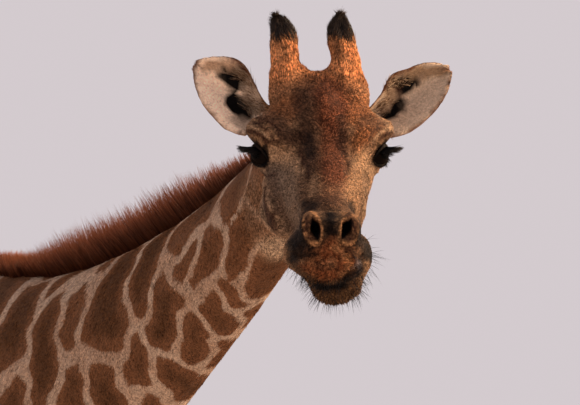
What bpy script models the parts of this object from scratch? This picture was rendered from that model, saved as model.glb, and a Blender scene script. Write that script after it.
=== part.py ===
"""A life-size standing giraffe cow with her neck stretched forward and her head turned to the right.

Run it with: blender --background --python part.py
Metres, +Z up, +X the way the body faces, +Y the animal's left. The origin is on the ground, below the
middle of the finished animal.

The flesh is built up from lofts and ellipsoids, as a sculptor packs clay, joined by a voxel remesh, and
then parted by thin cuts into the pieces that a person would name.
"""

import math

import bmesh
import bpy
import numpy as np
from mathutils import Matrix, Vector

# ---------------------------------------------------------------- driving dimensions
FORELEG_X = 0.08
HINDLEG_X = -1.10
NECK_LENGTH = 1.62
MANE_HEIGHT = 0.085
EYE_RADIUS = 0.0245
GAP = 0.0003  # what touching pieces keep between them
# How each of the two sculptures is melted: voxel, fillet in the creases, rounds of smoothing.
BODY_CLAY = (0.012, 0.060, 30)
HEAD_CLAY = (0.0035, 0.017, 18)
BODY_TRIANGLES = 2220
HEAD_TRIANGLES = 2900

# The head's own frame has its origin midway between the eyes, +X to the muzzle, +Y to its left, +Z up.
HEAD_TURN = math.radians(-24.4)
HEAD_DIP = math.radians(9.5)
HEAD_LENGTH_BEHIND_EYES = 0.20

RIGHT, LEFT = -1, 1
SIDES = {"right": RIGHT, "left": LEFT}


# ---------------------------------------------------------------- general helpers
def clear_scene():
    for obj in list(bpy.data.objects):
        bpy.data.objects.remove(obj)


def new_collection(name):
    collection = bpy.data.collections.new(name)
    bpy.context.scene.collection.children.link(collection)
    return collection


def add_object(name, mesh, collection):
    obj = bpy.data.objects.new(name, mesh)
    collection.objects.link(obj)
    return obj


def mesh_from(name, bm):
    mesh = bpy.data.meshes.new(name)
    bmesh.ops.recalc_face_normals(bm, faces=bm.faces)
    bm.to_mesh(mesh)
    bm.free()
    return mesh


def evaluated_copy(obj, name, collection):
    """A plain mesh object with obj's modifiers applied."""
    bpy.context.view_layer.update()
    graph = bpy.context.evaluated_depsgraph_get()
    mesh = bpy.data.meshes.new_from_object(obj.evaluated_get(graph))
    mesh.transform(obj.matrix_world)
    return add_object(name, mesh, collection)


def in_between(rows, count):
    """Rows of numbers made into count rows on a smooth curve through them, evenly spaced along it."""
    rows = np.array(rows, float)
    at = np.arange(len(rows))
    padded = np.vstack([2 * rows[0] - rows[1], rows, 2 * rows[-1] - rows[-2]])

    def curve(t):
        i = np.clip(np.floor(t).astype(int), 0, len(rows) - 2)
        f = (t - i)[:, None]
        a, b, c, d = (padded[i + k] for k in range(4))
        square = (2 * a - 5 * b + 4 * c - d) * f**2
        cube = (3 * b - a - 3 * c + d) * f**3
        return 0.5 * (2 * b + (c - a) * f + square + cube)

    fine = curve(np.linspace(0, at[-1], 20 * len(rows)))
    steps = np.linalg.norm(np.diff(fine[:, :3], axis=0), axis=1)
    length = np.concatenate([[0], np.cumsum(steps)])
    wanted = np.linspace(0, length[-1], count)
    return np.stack([np.interp(wanted, length, column) for column in fine.T], axis=1)


def loft_mesh(name, stations, rings, sides, across=(0, 1, 0), squareness=2.0):
    """A closed tube through stations (x, y, z, half_width, half_depth). The width runs along across."""
    rows = in_between(stations, rings)
    centres = rows[:, :3]
    along = np.gradient(centres, axis=0)
    bm = bmesh.new()
    angles = [2 * math.pi * k / sides for k in range(sides)]
    loops = []
    for centre, direction, (wide, deep) in zip(centres, along, rows[:, 3:5]):
        tangent = Vector(direction).normalized()
        side = (Vector(across) - tangent * tangent.dot(Vector(across))).normalized()
        up = side.cross(tangent)
        loop = []
        for angle in angles:
            c, s = math.cos(angle), math.sin(angle)
            reach = (abs(c) ** squareness + abs(s) ** squareness) ** (-1 / squareness)
            loop.append(bm.verts.new(Vector(centre) + reach * (side * wide * c + up * deep * s)))
        loops.append(loop)
    for first, second in zip(loops, loops[1:]):
        for k in range(sides):
            after = (k + 1) % sides
            bm.faces.new((first[k], first[after], second[after], second[k]))
    bm.faces.new(loops[0])
    bm.faces.new(loops[-1])
    return mesh_from(name, bm)


def ellipsoid_mesh(name, centre, radii, turn=(0, 0, 0), segments=24):
    """An ellipsoid turned by the three angles, in degrees."""
    bm = bmesh.new()
    bmesh.ops.create_uvsphere(bm, u_segments=segments, v_segments=segments * 2 // 3, radius=1)
    turned = Matrix.Rotation(math.radians(turn[2]), 4, "Z")
    turned @= Matrix.Rotation(math.radians(turn[1]), 4, "Y")
    turned @= Matrix.Rotation(math.radians(turn[0]), 4, "X")
    place = Matrix.Translation(centre) @ turned @ Matrix.Diagonal((*radii, 1))
    bmesh.ops.transform(bm, matrix=place, verts=bm.verts)
    return mesh_from(name, bm)


def joined_mesh(name, meshes):
    """Several meshes as one, still overlapping."""
    bm = bmesh.new()
    for mesh in meshes:
        bm.from_mesh(mesh)
    joined = bpy.data.meshes.new(name)
    bm.to_mesh(joined)
    bm.free()
    return joined


def sculpted(name, meshes, clay_settings, helpers):
    """The meshes melted into one skin: swollen, melted again and shrunk back, which fills the creases."""
    voxel, fillet, smoothing = clay_settings
    clay = add_object(name + "_clay", joined_mesh(name, meshes), helpers)
    for by in (fillet, -fillet):
        remesh = clay.modifiers.new("remesh", "REMESH")
        remesh.mode = "VOXEL"
        remesh.voxel_size = voxel
        push = clay.modifiers.new("push", "DISPLACE")
        push.mid_level = 0
        push.strength = by
    smooth = clay.modifiers.new("smooth", "SMOOTH")
    smooth.factor = 0.5
    smooth.iterations = smoothing
    return evaluated_copy(clay, name + "_smooth", helpers)


def thinned(obj, triangles, name, helpers):
    """obj with about that many triangles."""
    faces = sum(len(p.vertices) - 2 for p in obj.data.polygons)
    thin = obj.modifiers.new("thin", "DECIMATE")
    thin.ratio = triangles / faces
    result = evaluated_copy(obj, name, helpers)
    obj.modifiers.remove(thin)
    return result


def as_bmesh(obj):
    bm = bmesh.new()
    bm.from_mesh(obj.data)
    return bm


def half_space(obj, point, normal, name, helpers):
    """What of obj lies behind the plane, closed with a flat face half a gap short of it."""
    bm = as_bmesh(obj)
    normal = Vector(normal).normalized()
    cut = bmesh.ops.bisect_plane(
        bm,
        geom=bm.verts[:] + bm.edges[:] + bm.faces[:],
        plane_co=Vector(point) - normal * (GAP / 2),
        plane_no=normal,
        clear_outer=True,
    )
    edges = [e for e in cut["geom_cut"] if isinstance(e, bmesh.types.BMEdge)]
    bmesh.ops.holes_fill(bm, edges=edges)
    bmesh.ops.triangulate(bm, faces=bm.faces)
    return add_object(name, mesh_from(name, bm), helpers)


def parted(obj, point, normal, names, helpers):
    """obj cut in two by a plane: what is behind it, then what is before it."""
    behind = half_space(obj, point, normal, names[0], helpers)
    before = half_space(obj, point, -Vector(normal), names[1], helpers)
    return behind, before


def boolean(obj, other, operation, name, helpers):
    cut = obj.modifiers.new("cut", "BOOLEAN")
    cut.operation = operation
    cut.solver = "EXACT"
    cut.object = other
    result = evaluated_copy(obj, name, helpers)
    obj.modifiers.remove(cut)
    return result


def swollen(obj, by, helpers):
    """obj with its skin moved out by that much."""
    bm = as_bmesh(obj)
    bm.normal_update()
    for vert, normal in [(v, v.normal.copy()) for v in bm.verts]:
        vert.co += normal * by
    return add_object(obj.name + "_swollen", mesh_from(obj.name, bm), helpers)


def loose_parts(obj, helpers):
    """Each separate body of obj as its own object."""
    bm = as_bmesh(obj)
    bm.verts.ensure_lookup_table()
    left = set(bm.verts)
    parts = []
    while left:
        todo = [left.pop()]
        found = set(todo)
        while todo:
            vert = todo.pop()
            for edge in vert.link_edges:
                other = edge.other_vert(vert)
                if other in left:
                    left.remove(other)
                    found.add(other)
                    todo.append(other)
        part = bm.copy()
        part.verts.ensure_lookup_table()
        keep = {v.index for v in found}
        bmesh.ops.delete(part, geom=[v for v in part.verts if v.index not in keep], context="VERTS")
        parts.append(add_object(obj.name + "_part", mesh_from(obj.name, part), helpers))
    bm.free()
    return parts


def middle(obj):
    return sum((v.co for v in obj.data.vertices), Vector()) / len(obj.data.vertices)


# ---------------------------------------------------------------- trunk, neck and legs
def trunk_masses():
    """The barrel from the buttocks to the breast, with shoulders, rump and withers laid on it."""
    barrel = []
    for x, top, bottom, wide in (
        (-1.28, 1.98, 1.80, 0.08),
        (-1.21, 2.11, 1.66, 0.17),
        (-1.07, 2.24, 1.60, 0.245),
        (-0.85, 2.32, 1.60, 0.28),
        (-0.60, 2.38, 1.54, 0.315),
        (-0.30, 2.46, 1.48, 0.34),
        (-0.05, 2.54, 1.47, 0.325),
        (0.12, 2.56, 1.52, 0.28),
        (0.24, 2.53, 1.64, 0.23),
        (0.32, 2.48, 1.86, 0.18),
        (0.37, 2.42, 2.06, 0.10),
    ):
        barrel.append((x, 0, (top + bottom) / 2, wide, (top - bottom) / 2))
    masses = [loft_mesh("barrel", barrel, 40, 32)]
    masses.append(ellipsoid_mesh("withers", (0.02, 0, 2.48), (0.30, 0.07, 0.11), (0, -6, 0)))
    masses.append(ellipsoid_mesh("croup", (-0.96, 0, 2.18), (0.32, 0.15, 0.12), (0, -12, 0)))
    for side in SIDES.values():
        masses.append(ellipsoid_mesh("shoulder", (0.12, side * 0.20, 2.00), (0.17, 0.10, 0.40), (0, 12, 0)))
        masses.append(ellipsoid_mesh("breast", (0.19, side * 0.10, 1.86), (0.14, 0.10, 0.20)))
        masses.append(ellipsoid_mesh("hip", (-0.80, side * 0.17, 2.18), (0.17, 0.10, 0.09), (0, -10, 0)))
        masses.append(ellipsoid_mesh("rump", (-1.09, side * 0.15, 1.93), (0.18, 0.12, 0.31), (0, -12, 0)))
    return masses


# Along the neck: distance, rise in degrees, swing to the right in degrees, half width, half depth.
NECK_PLAN = (
    (0.00, 12.0, 0, 0.205, 0.365),
    (0.20, 14.0, 0, 0.180, 0.300),
    (0.40, 17.0, 0, 0.152, 0.243),
    (0.60, 19.0, 0, 0.130, 0.200),
    (0.80, 20.0, 1, 0.113, 0.167),
    (1.00, 21.0, 2, 0.099, 0.140),
    (1.20, 22.5, 4, 0.088, 0.118),
    (1.40, 24.0, 6, 0.080, 0.101),
    (1.62, 25.5, 9, 0.078, 0.092),
)
NECK_ROOT = Vector((0.20, 0, 2.24))


def neck_stations(count=33):
    """Rows of (x, y, z, half_width, half_depth) along the neck, from its root to the back of the skull."""
    plan = np.array(NECK_PLAN, float)
    at = np.linspace(0, NECK_LENGTH, count)
    rise, swing, wide, deep = (np.interp(at, plan[:, 0], plan[:, k]) for k in range(1, 5))
    step = NECK_LENGTH / (count - 1)
    place = NECK_ROOT.copy()
    rows = []
    for r, s, w, d in zip(np.radians(rise), np.radians(swing), wide, deep):
        rows.append((*place, w, d))
        direction = Vector((math.cos(r) * math.cos(s), -math.cos(r) * math.sin(s), math.sin(r)))
        place += direction * step
    return rows


def neck_at(distance):
    """The neck's centre and its direction at that distance from its root."""
    rows = np.array(neck_stations())[:, :3]
    share = distance / NECK_LENGTH * (len(rows) - 1)
    i = int(min(share, len(rows) - 2))
    step = rows[i + 1] - rows[i]
    return Vector(rows[i] + step * (share - i)), Vector(step).normalized()


def foreleg_stations(side, forward):
    """From the elbow to the top of the hoof. forward moves the foot ahead."""
    y = side * 0.185
    foot = side * 0.165
    x = FORELEG_X
    return (
        (x - 0.01, y * 0.95, 1.86, 0.085, 0.150),
        (x - 0.01, y, 1.68, 0.085, 0.135),
        (x + 0.005, y, 1.52, 0.078, 0.112),
        (x + 0.015 + 0.2 * forward, y, 1.32, 0.064, 0.090),
        (x + 0.020 + 0.4 * forward, foot, 1.10, 0.052, 0.068),
        (x + 0.025 + 0.5 * forward, foot, 0.95, 0.047, 0.056),
        (x + 0.030 + 0.6 * forward, foot, 0.86, 0.054, 0.063),
        (x + 0.026 + 0.6 * forward, foot, 0.79, 0.050, 0.056),
        (x + 0.018 + 0.7 * forward, foot, 0.68, 0.037, 0.042),
        (x + 0.014 + 0.8 * forward, foot, 0.45, 0.033, 0.040),
        (x + 0.010 + 0.9 * forward, foot, 0.27, 0.037, 0.045),
        (x + 0.008 + forward, foot, 0.185, 0.048, 0.056),
        (x + 0.030 + forward, foot, 0.125, 0.045, 0.050),
        (x + 0.052 + forward, foot, 0.070, 0.056, 0.066),
    )


def hindleg_stations(side, forward):
    """From inside the thigh to the top of the hoof."""
    y = side * 0.165
    foot = side * 0.15
    x = HINDLEG_X
    return (
        (x + 0.09, y * 0.9, 1.98, 0.090, 0.200),
        (x + 0.13, y, 1.78, 0.100, 0.205),
        (x + 0.15, y, 1.60, 0.092, 0.165),
        (x + 0.11, y, 1.42, 0.074, 0.120),
        (x + 0.05 + 0.3 * forward, y, 1.22, 0.056, 0.086),
        (x - 0.015 + 0.5 * forward, foot, 1.04, 0.044, 0.066),
        (x - 0.055 + 0.6 * forward, foot, 0.93, 0.047, 0.070),
        (x - 0.050 + 0.6 * forward, foot, 0.85, 0.045, 0.062),
        (x - 0.030 + 0.7 * forward, foot, 0.74, 0.038, 0.047),
        (x - 0.015 + 0.8 * forward, foot, 0.50, 0.034, 0.042),
        (x - 0.005 + 0.9 * forward, foot, 0.28, 0.037, 0.045),
        (x + forward, foot, 0.185, 0.047, 0.055),
        (x + 0.024 + forward, foot, 0.125, 0.044, 0.049),
        (x + 0.046 + forward, foot, 0.070, 0.054, 0.064),
    )


LEGS = {
    "front_right": (foreleg_stations, RIGHT, 0.05),
    "front_left": (foreleg_stations, LEFT, -0.03),
    "hind_right": (hindleg_stations, RIGHT, -0.04),
    "hind_left": (hindleg_stations, LEFT, 0.10),
}


def leg_masses():
    masses = []
    for stations, side, forward in LEGS.values():
        masses.append(loft_mesh("leg", stations(side, forward), 44, 20))
    return masses


# ---------------------------------------------------------------- head
def head_matrix():
    """From the head's own frame to the body's."""
    nape, _ = neck_at(NECK_LENGTH)
    turned = Matrix.Rotation(HEAD_TURN, 4, "Z") @ Matrix.Rotation(HEAD_DIP, 4, "Y")
    back_of_skull = turned @ Vector((-HEAD_LENGTH_BEHIND_EYES, 0, -0.02))
    return Matrix.Translation(nape - back_of_skull) @ turned


def skull_masses():
    """Brain case, brow, face, cheeks and muzzle, without the lower jaw."""
    masses = [
        ellipsoid_mesh("brain_case", (-0.120, 0, 0.020), (0.120, 0.088, 0.090)),
        ellipsoid_mesh("frontal", (-0.075, 0, 0.074), (0.080, 0.062, 0.064)),
        ellipsoid_mesh("forehead", (-0.020, 0, 0.036), (0.100, 0.100, 0.066), (0, 16, 0)),
        ellipsoid_mesh("brow_boss", (0.000, 0, 0.078), (0.072, 0.040, 0.034), (0, 30, 0)),
        ellipsoid_mesh("nose_tip", (0.350, 0, -0.088), (0.050, 0.044, 0.040)),
        ellipsoid_mesh("upper_lip", (0.345, 0, -0.138), (0.058, 0.074, 0.048), (0, 12, 0)),
    ]
    face = (
        (-0.10, 0, -0.026, 0.086, 0.098),
        (0.00, 0, -0.034, 0.084, 0.092),
        (0.08, 0, -0.052, 0.075, 0.080),
        (0.16, 0, -0.073, 0.064, 0.070),
        (0.25, 0, -0.096, 0.052, 0.062),
        (0.34, 0, -0.112, 0.047, 0.056),
    )
    masses.append(loft_mesh("face", face, 24, 28, squareness=2.3))
    for side in SIDES.values():
        for name, centre, radii, turn in (
            ("orbit", (-0.012, 0.088, 0.036), (0.052, 0.047, 0.028), (0, 14, -18)),
            ("brow_slope", (0.022, 0.066, 0.046), (0.062, 0.036, 0.020), (0, 22, -22)),
            ("lower_lid", (-0.006, 0.082, -0.030), (0.044, 0.028, 0.016), (0, 14, -14)),
            ("cheekbone", (0.062, 0.067, -0.044), (0.100, 0.026, 0.026), (0, 18, -14)),
            ("cheek", (-0.085, 0.060, -0.074), (0.105, 0.038, 0.090), (0, 22, 0)),
            ("nostril_wing", (0.356, 0.029, -0.086), (0.044, 0.025, 0.037), (0, 20, 12)),
            ("lip_side", (0.300, 0.050, -0.142), (0.082, 0.028, 0.036), (0, 8, -4)),
            ("ear_root", (-0.146, 0.084, 0.040), (0.032, 0.022, 0.030), (0, 0, 0)),
        ):
            place = (centre[0], side * centre[1], centre[2])
            masses.append(ellipsoid_mesh(name, place, radii, (turn[0], turn[1], side * turn[2])))
    return masses


# Up the middle of a horn, in the head's frame: x, distance from the midline, z, half width, half depth.
HORN_PLAN = (
    (-0.055, 0.044, 0.070, 0.044, 0.054),
    (-0.092, 0.049, 0.108, 0.036, 0.042),
    (-0.122, 0.052, 0.140, 0.028, 0.031),
    (-0.150, 0.053, 0.168, 0.0255, 0.027),
    (-0.176, 0.053, 0.194, 0.0250, 0.026),
    (-0.194, 0.052, 0.214, 0.0210, 0.022),
    (-0.205, 0.050, 0.230, 0.0080, 0.009),
)
HORN_START = 0.045  # along the horn's axis, where the skull ends
TUFT_START = 0.098  # and where the black tip begins
TUFT_LEAN = -0.014  # the black tips lean this far to her right


def horn_masses():
    """The two furred horns with their tips of black hair."""
    masses = []
    for side in SIDES.values():
        horn = []
        for i, (x, off, z, wide, deep) in enumerate(HORN_PLAN):
            lean = TUFT_LEAN * max(0, i - 4) / 2
            horn.append((x, side * off + lean, z, wide, deep))
        masses.append(loft_mesh("horn", horn, 22, 20))
    return masses


NOSTRIL = (0.394, 0.0275, -0.079)
NOSTRIL_RADII = (0.024, 0.0085, 0.014)
JAW_SHIFT = 0.010  # the lower jaw is swung to her left as she chews


def jaw_masses():
    jaw = (
        (-0.165, 0, -0.085, 0.050, 0.060),
        (-0.120, 0, -0.122, 0.054, 0.060),
        (-0.040, 0, -0.140, 0.050, 0.056),
        (0.080, 0.2 * JAW_SHIFT, -0.152, 0.042, 0.050),
        (0.200, 0.6 * JAW_SHIFT, -0.172, 0.038, 0.038),
        (0.290, JAW_SHIFT, -0.190, 0.042, 0.026),
    )
    return [
        loft_mesh("jaw", jaw, 24, 24),
        ellipsoid_mesh("chin", (0.305, JAW_SHIFT, -0.192), (0.052, 0.050, 0.031), (0, 6, 0)),
    ]


def placed(meshes, matrix):
    for mesh in meshes:
        mesh.transform(matrix)
    return meshes


# ---------------------------------------------------------------- ears, eyes, mane, tail and hoofs
# Each ear in the head's frame: its root, its tip and how broad it is.
EARS = {
    "ear_right": ((-0.138, -0.092, 0.034), (-0.196, -0.218, 0.138), 1.05),
    "ear_left": ((-0.138, 0.094, 0.032), (-0.202, 0.246, 0.128), 0.98),
}
EAR_THICKNESS = 0.0045
# The leaf's edges: share of the way to the tip, and how far out the upper and the lower edge lie there.
EAR_OUTLINE = (
    (0.00, 0.032, 0.024),
    (0.15, 0.038, 0.037),
    (0.30, 0.045, 0.048),
    (0.50, 0.052, 0.048),
    (0.70, 0.047, 0.042),
    (0.82, 0.038, 0.033),
    (0.92, 0.024, 0.021),
    (1.00, 0.007, 0.007),
)


def ear_mesh(name, root, tip, breadth):
    """An open leaf, cupped to the front, with its edges drawn in to a funnel at the root."""
    root, tip = Vector(root), Vector(tip)
    along = tip - root
    facing = Vector((1, 0.25 * math.copysign(1, tip.y), -0.10))
    facing = (facing - along * facing.dot(along) / along.length_squared).normalized()
    upward = facing.cross(along.normalized()) * math.copysign(1, tip.y)
    outline = np.array(EAR_OUTLINE)
    bm = bmesh.new()
    rows, columns = 10, 7
    grid = []
    for i in range(rows):
        u = i / (rows - 1)
        above, below = (breadth * np.interp(u, outline[:, 0], outline[:, k]) for k in (1, 2))
        cup = 0.034 * (1 - u) ** 0.8 + 0.007
        line = []
        for j in range(columns):
            v = 2 * j / (columns - 1) - 1
            out = v * (above if v > 0 else below)
            place = root + along * u + upward * out + facing * (cup * (v * v - 0.6))
            line.append(bm.verts.new(place))
        grid.append(line)
    for low, high in zip(grid, grid[1:]):
        for j in range(columns - 1):
            bm.faces.new((low[j], low[j + 1], high[j + 1], high[j]))
    mesh = bpy.data.meshes.new(name)
    bm.to_mesh(mesh)
    bm.free()
    return mesh


def ear_solid(name, helpers):
    leaf = add_object(name + "_leaf", ear_mesh(name, *EARS[name]), helpers)
    leaf.data.transform(head_matrix())
    shell = leaf.modifiers.new("shell", "SOLIDIFY")
    shell.thickness = EAR_THICKNESS
    shell.offset = 0
    solid = evaluated_copy(leaf, name + "_whole", helpers)
    bm = as_bmesh(solid)
    bmesh.ops.triangulate(bm, faces=bm.faces)
    return add_object(name + "_solid", mesh_from(name, bm), helpers)


EYE_CENTRE = (-0.002, 0.098, -0.003)


def eye_mesh(side, radius):
    bm = bmesh.new()
    bmesh.ops.create_uvsphere(bm, u_segments=14, v_segments=8, radius=radius)
    pole_out = Matrix.Rotation(math.radians(-90 * side), 4, "X")
    place = Matrix.Translation((EYE_CENTRE[0], side * EYE_CENTRE[1], EYE_CENTRE[2]))
    bmesh.ops.transform(bm, matrix=head_matrix() @ place @ pole_out, verts=bm.verts)
    return mesh_from("eye", bm)


def mane_mesh():
    """A standing crest along the top of the neck, from behind the horns to the withers."""
    rows = neck_stations(13)
    crest = []
    for i, (x, y, z, wide, deep) in enumerate(rows):
        tall = MANE_HEIGHT * min(1, 0.35 + 0.25 * i)
        top = Vector((x, y, z)) + neck_up(i, rows) * (deep + tall / 2 - 0.02)
        crest.append((*top, 0.016 + 0.012 * (1 - i / 12), tall / 2 + 0.02))
    poll = head_matrix() @ Vector((-0.235, 0, 0.110))
    brow = head_matrix() @ Vector((-0.185, 0, 0.080))
    crest.append((*poll, 0.018, 0.055))
    crest.append((*brow, 0.014, 0.030))
    return loft_mesh("mane", crest, 18, 8)


def neck_up(i, rows):
    ahead = Vector(rows[min(i + 1, len(rows) - 1)][:3]) - Vector(rows[max(i - 1, 0)][:3])
    side = Vector((0, 0, 1)).cross(ahead).normalized()
    return ahead.normalized().cross(side)


TAIL = (
    (-1.22, 0, 2.045, 0.040, 0.042),
    (-1.31, 0, 2.020, 0.036, 0.036),
    (-1.375, 0, 1.930, 0.028, 0.028),
    (-1.395, 0, 1.760, 0.020, 0.020),
    (-1.400, 0, 1.560, 0.016, 0.016),
    (-1.400, 0, 1.340, 0.014, 0.014),
)
TAIL_TUFT = (
    (-1.400, 0, 1.339, 0.016, 0.016),
    (-1.400, 0, 1.250, 0.036, 0.036),
    (-1.396, 0, 1.100, 0.044, 0.044),
    (-1.390, 0, 0.960, 0.038, 0.038),
    (-1.386, 0, 0.850, 0.014, 0.014),
)

HOOF_TOP = 0.086
CORONET_SLOPE = (-0.25, 0, 1)
CLEFT = 0.003  # between the two claws of a foot


def claw_mesh(foot_x, foot_y, side):
    y = foot_y + side * 0.036
    claw = (
        (foot_x - 0.022, y, 0.125, 0.026, 0.042),
        (foot_x - 0.006, y, 0.080, 0.030, 0.052),
        (foot_x + 0.006, y, 0.040, 0.034, 0.060),
        (foot_x + 0.014, y, -0.010, 0.037, 0.066),
    )
    return loft_mesh("claw", claw, 4, 10, squareness=2.5)


def foot_centre(name):
    stations, side, forward = LEGS[name]
    x, y = stations(side, forward)[-1][:2]
    return x, y


def hoof(name, helpers):
    """The two claws of one foot, flat below, trimmed to the sloping coronet above."""
    x, y = foot_centre(name)
    claws = {}
    for word, side in (("inner", -1), ("outer", 1)):
        away = side * math.copysign(1, y)
        claw = add_object("claw", claw_mesh(x, y, away), helpers)
        claw = half_space(claw, (x, y, -GAP / 2), (0, 0, -1), "sole", helpers)
        claw = half_space(claw, (x, y, HOOF_TOP), CORONET_SLOPE, "top", helpers)
        claw = half_space(claw, (x, y + away * CLEFT / 2, 0), (0, -away, 0), "cleft", helpers)
        claws[f"hoof_{name}_{word}"] = claw
    return claws


# ---------------------------------------------------------------- assembly
NECK_CUTS = (0.22, 0.68, 1.12, 1.52)
BELLY_CUT = 1.43
KNEE_CUTS = {"front": 0.84, "hind": 0.90}


def jaw_cutter(helpers):
    """A wide block whose top is the line of the mouth, to be taken out of the head as the lower jaw."""
    mouth = ((0.46, -0.171), (0.27, -0.163), (0.14, -0.150), (0.02, -0.150), (-0.03, -0.172))
    profile = (*mouth, (-0.045, -0.30), (0.46, -0.30))
    bm = bmesh.new()
    face = bm.faces.new([bm.verts.new((x, -0.2, z)) for x, z in profile])
    side = bmesh.ops.extrude_face_region(bm, geom=[face])
    moved = [v for v in side["geom"] if isinstance(v, bmesh.types.BMVert)]
    bmesh.ops.translate(bm, vec=(0, 0.4, 0), verts=moved)
    bmesh.ops.triangulate(bm, faces=bm.faces)
    mesh = mesh_from("jaw_cutter", bm)
    mesh.transform(head_matrix())
    return add_object("jaw_cutter", mesh, helpers)


def horn_cutter(side, start, helpers):
    """A block round one horn, from start metres along its axis outward."""
    low = Vector((HORN_PLAN[1][0], side * HORN_PLAN[1][1], HORN_PLAN[1][2]))
    high = Vector((HORN_PLAN[4][0], side * HORN_PLAN[4][1], HORN_PLAN[4][2]))
    axis = (high - low).normalized()
    bm = bmesh.new()
    bmesh.ops.create_cone(bm, cap_ends=True, segments=24, radius1=0.046, radius2=0.050, depth=0.3)
    along = axis.to_track_quat("Z", "Y").to_matrix().to_4x4()
    place = Matrix.Translation(low + axis * (start + 0.15)) @ along
    bmesh.ops.transform(bm, matrix=head_matrix() @ place, verts=bm.verts)
    return add_object("horn_cutter", mesh_from("horn_cutter", bm), helpers)


def head_pieces(face, helpers):
    """The head parted into skull, lower jaw, horns and their tufts, with sockets for the eyes."""
    pieces = {}
    centre, direction = neck_at(NECK_CUTS[-1])
    head = half_space(face, centre, -direction, "head_whole", helpers)
    for word, side in SIDES.items():
        whole = boolean(head, horn_cutter(side, HORN_START, helpers), "INTERSECT", "horn", helpers)
        head = boolean(head, horn_cutter(side, HORN_START - GAP, helpers), "DIFFERENCE", "head", helpers)
        tuft = boolean(whole, horn_cutter(side, TUFT_START, helpers), "INTERSECT", "tuft", helpers)
        horn = boolean(whole, horn_cutter(side, TUFT_START - GAP, helpers), "DIFFERENCE", "horn", helpers)
        pieces[f"ossicone_{word}"] = horn
        pieces[f"ossicone_tuft_{word}"] = tuft
        socket = add_object("socket", eye_mesh(side, EYE_RADIUS + GAP), helpers)
        head = boolean(head, socket, "DIFFERENCE", "head", helpers)
    for side in SIDES.values():
        centre = (NOSTRIL[0], side * NOSTRIL[1], NOSTRIL[2])
        pit = ellipsoid_mesh("nostril", centre, NOSTRIL_RADII, (side * 16, 10, side * 22), 10)
        pit.transform(head_matrix())
        head = boolean(head, add_object("nostril", pit, helpers), "DIFFERENCE", "head", helpers)
    cutter = jaw_cutter(helpers)
    upper = boolean(head, cutter, "DIFFERENCE", "head", helpers)
    cutter.matrix_world = Matrix.Translation(head_matrix().to_3x3() @ Vector((GAP, 0, -GAP)))
    pieces["lower_jaw"] = boolean(head, cutter, "INTERSECT", "jaw", helpers)
    pieces["head"] = upper
    return pieces


def body_pieces(body, helpers):
    """The body parted into trunk, three lengths of neck, and an upper and a lower length of each leg."""
    pieces = {}
    rest = body
    names = ("trunk_and_legs", "neck_lower", "neck_middle", "neck_upper")
    for name, distance in zip(names, NECK_CUTS):
        centre, direction = neck_at(distance)
        piece, rest = parted(rest, centre, direction, (name, "rest"), helpers)
        pieces[name] = piece
    torso = pieces.pop("trunk_and_legs")
    trunk, legs = parted(torso, (0, 0, BELLY_CUT), (0, 0, -1), ("trunk", "legs"), helpers)
    pieces["trunk"] = trunk
    for leg in loose_parts(legs, helpers):
        place = middle(leg)
        ends = "front" if place.x > -0.5 else "hind"
        word = f"{ends}_{'left' if place.y > 0 else 'right'}"
        lower, upper = parted(leg, (0, 0, KNEE_CUTS[ends]), (0, 0, 1), ("lower", "upper"), helpers)
        x, y = foot_centre(word)
        shank = half_space(lower, (x, y, HOOF_TOP), [-c for c in CORONET_SLOPE], "shank", helpers)
        pieces[f"leg_{word}_upper"] = upper
        pieces[f"leg_{word}_lower"] = shank
        pieces.update(hoof(word, helpers))
    return pieces


def mane_pieces(pieces, helpers):
    """The crest of the mane above the flesh, in the same lengths as the neck."""
    mane = add_object("mane_whole", mane_mesh(), helpers)
    flesh = ("trunk", "neck_lower", "neck_middle", "neck_upper", "head", "ossicone_right", "ossicone_left")
    for name in flesh:
        mane = boolean(mane, swollen(pieces[name], GAP, helpers), "DIFFERENCE", "mane", helpers)
    mane = max(loose_parts(mane, helpers), key=lambda part: part.dimensions.length)
    found = {}
    for name, distance in (("mane_lower", NECK_CUTS[1]), ("mane_middle", NECK_CUTS[2])):
        centre, direction = neck_at(distance)
        found[name], mane = parted(mane, centre, direction, (name, "rest"), helpers)
    found["mane_upper"] = mane
    return found


def tail_pieces(pieces, helpers):
    tail = add_object("tail_whole", loft_mesh("tail", TAIL, 10, 8), helpers)
    tail = boolean(tail, swollen(pieces["trunk"], GAP, helpers), "DIFFERENCE", "tail", helpers)
    tail = max(loose_parts(tail, helpers), key=lambda part: part.dimensions.length)
    tuft = add_object("tail_tuft", loft_mesh("tail_tuft", TAIL_TUFT, 8, 8), helpers)
    return {"tail": tail, "tail_tuft": tuft}


def ear_pieces(pieces, helpers):
    found = {}
    for name in EARS:
        ear = ear_solid(name, helpers)
        ear = boolean(ear, swollen(pieces["head"], GAP, helpers), "DIFFERENCE", name, helpers)
        found[name] = max(loose_parts(ear, helpers), key=lambda part: part.dimensions.length)
    return found


def eye_pieces(helpers):
    found = {}
    for word, side in SIDES.items():
        found[f"eye_{word}"] = add_object("eye", eye_mesh(side, EYE_RADIUS), helpers)
    return found


# Colour, roughness of each kind of piece.
FINISHES = {
    "hide": ((0.30, 0.16, 0.08), 0.85),
    "mane": ((0.08, 0.03, 0.015), 0.90),
    "black_hair": ((0.010, 0.009, 0.008), 0.80),
    "hoof": ((0.05, 0.04, 0.035), 0.55),
    "eye": ((0.010, 0.006, 0.004), 0.08),
}


def finish_of(name):
    for word, finish in (("mane", "mane"), ("tuft", "black_hair"), ("hoof", "hoof"), ("eye_", "eye")):
        if word in name:
            return finish
    return "hide"


def new_material(name, colour, roughness):
    material = bpy.data.materials.new(name)
    material.use_nodes = True
    shader = material.node_tree.nodes["Principled BSDF"]
    shader.inputs["Base Color"].default_value = (*colour, 1)
    shader.inputs["Roughness"].default_value = roughness
    return material


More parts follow.
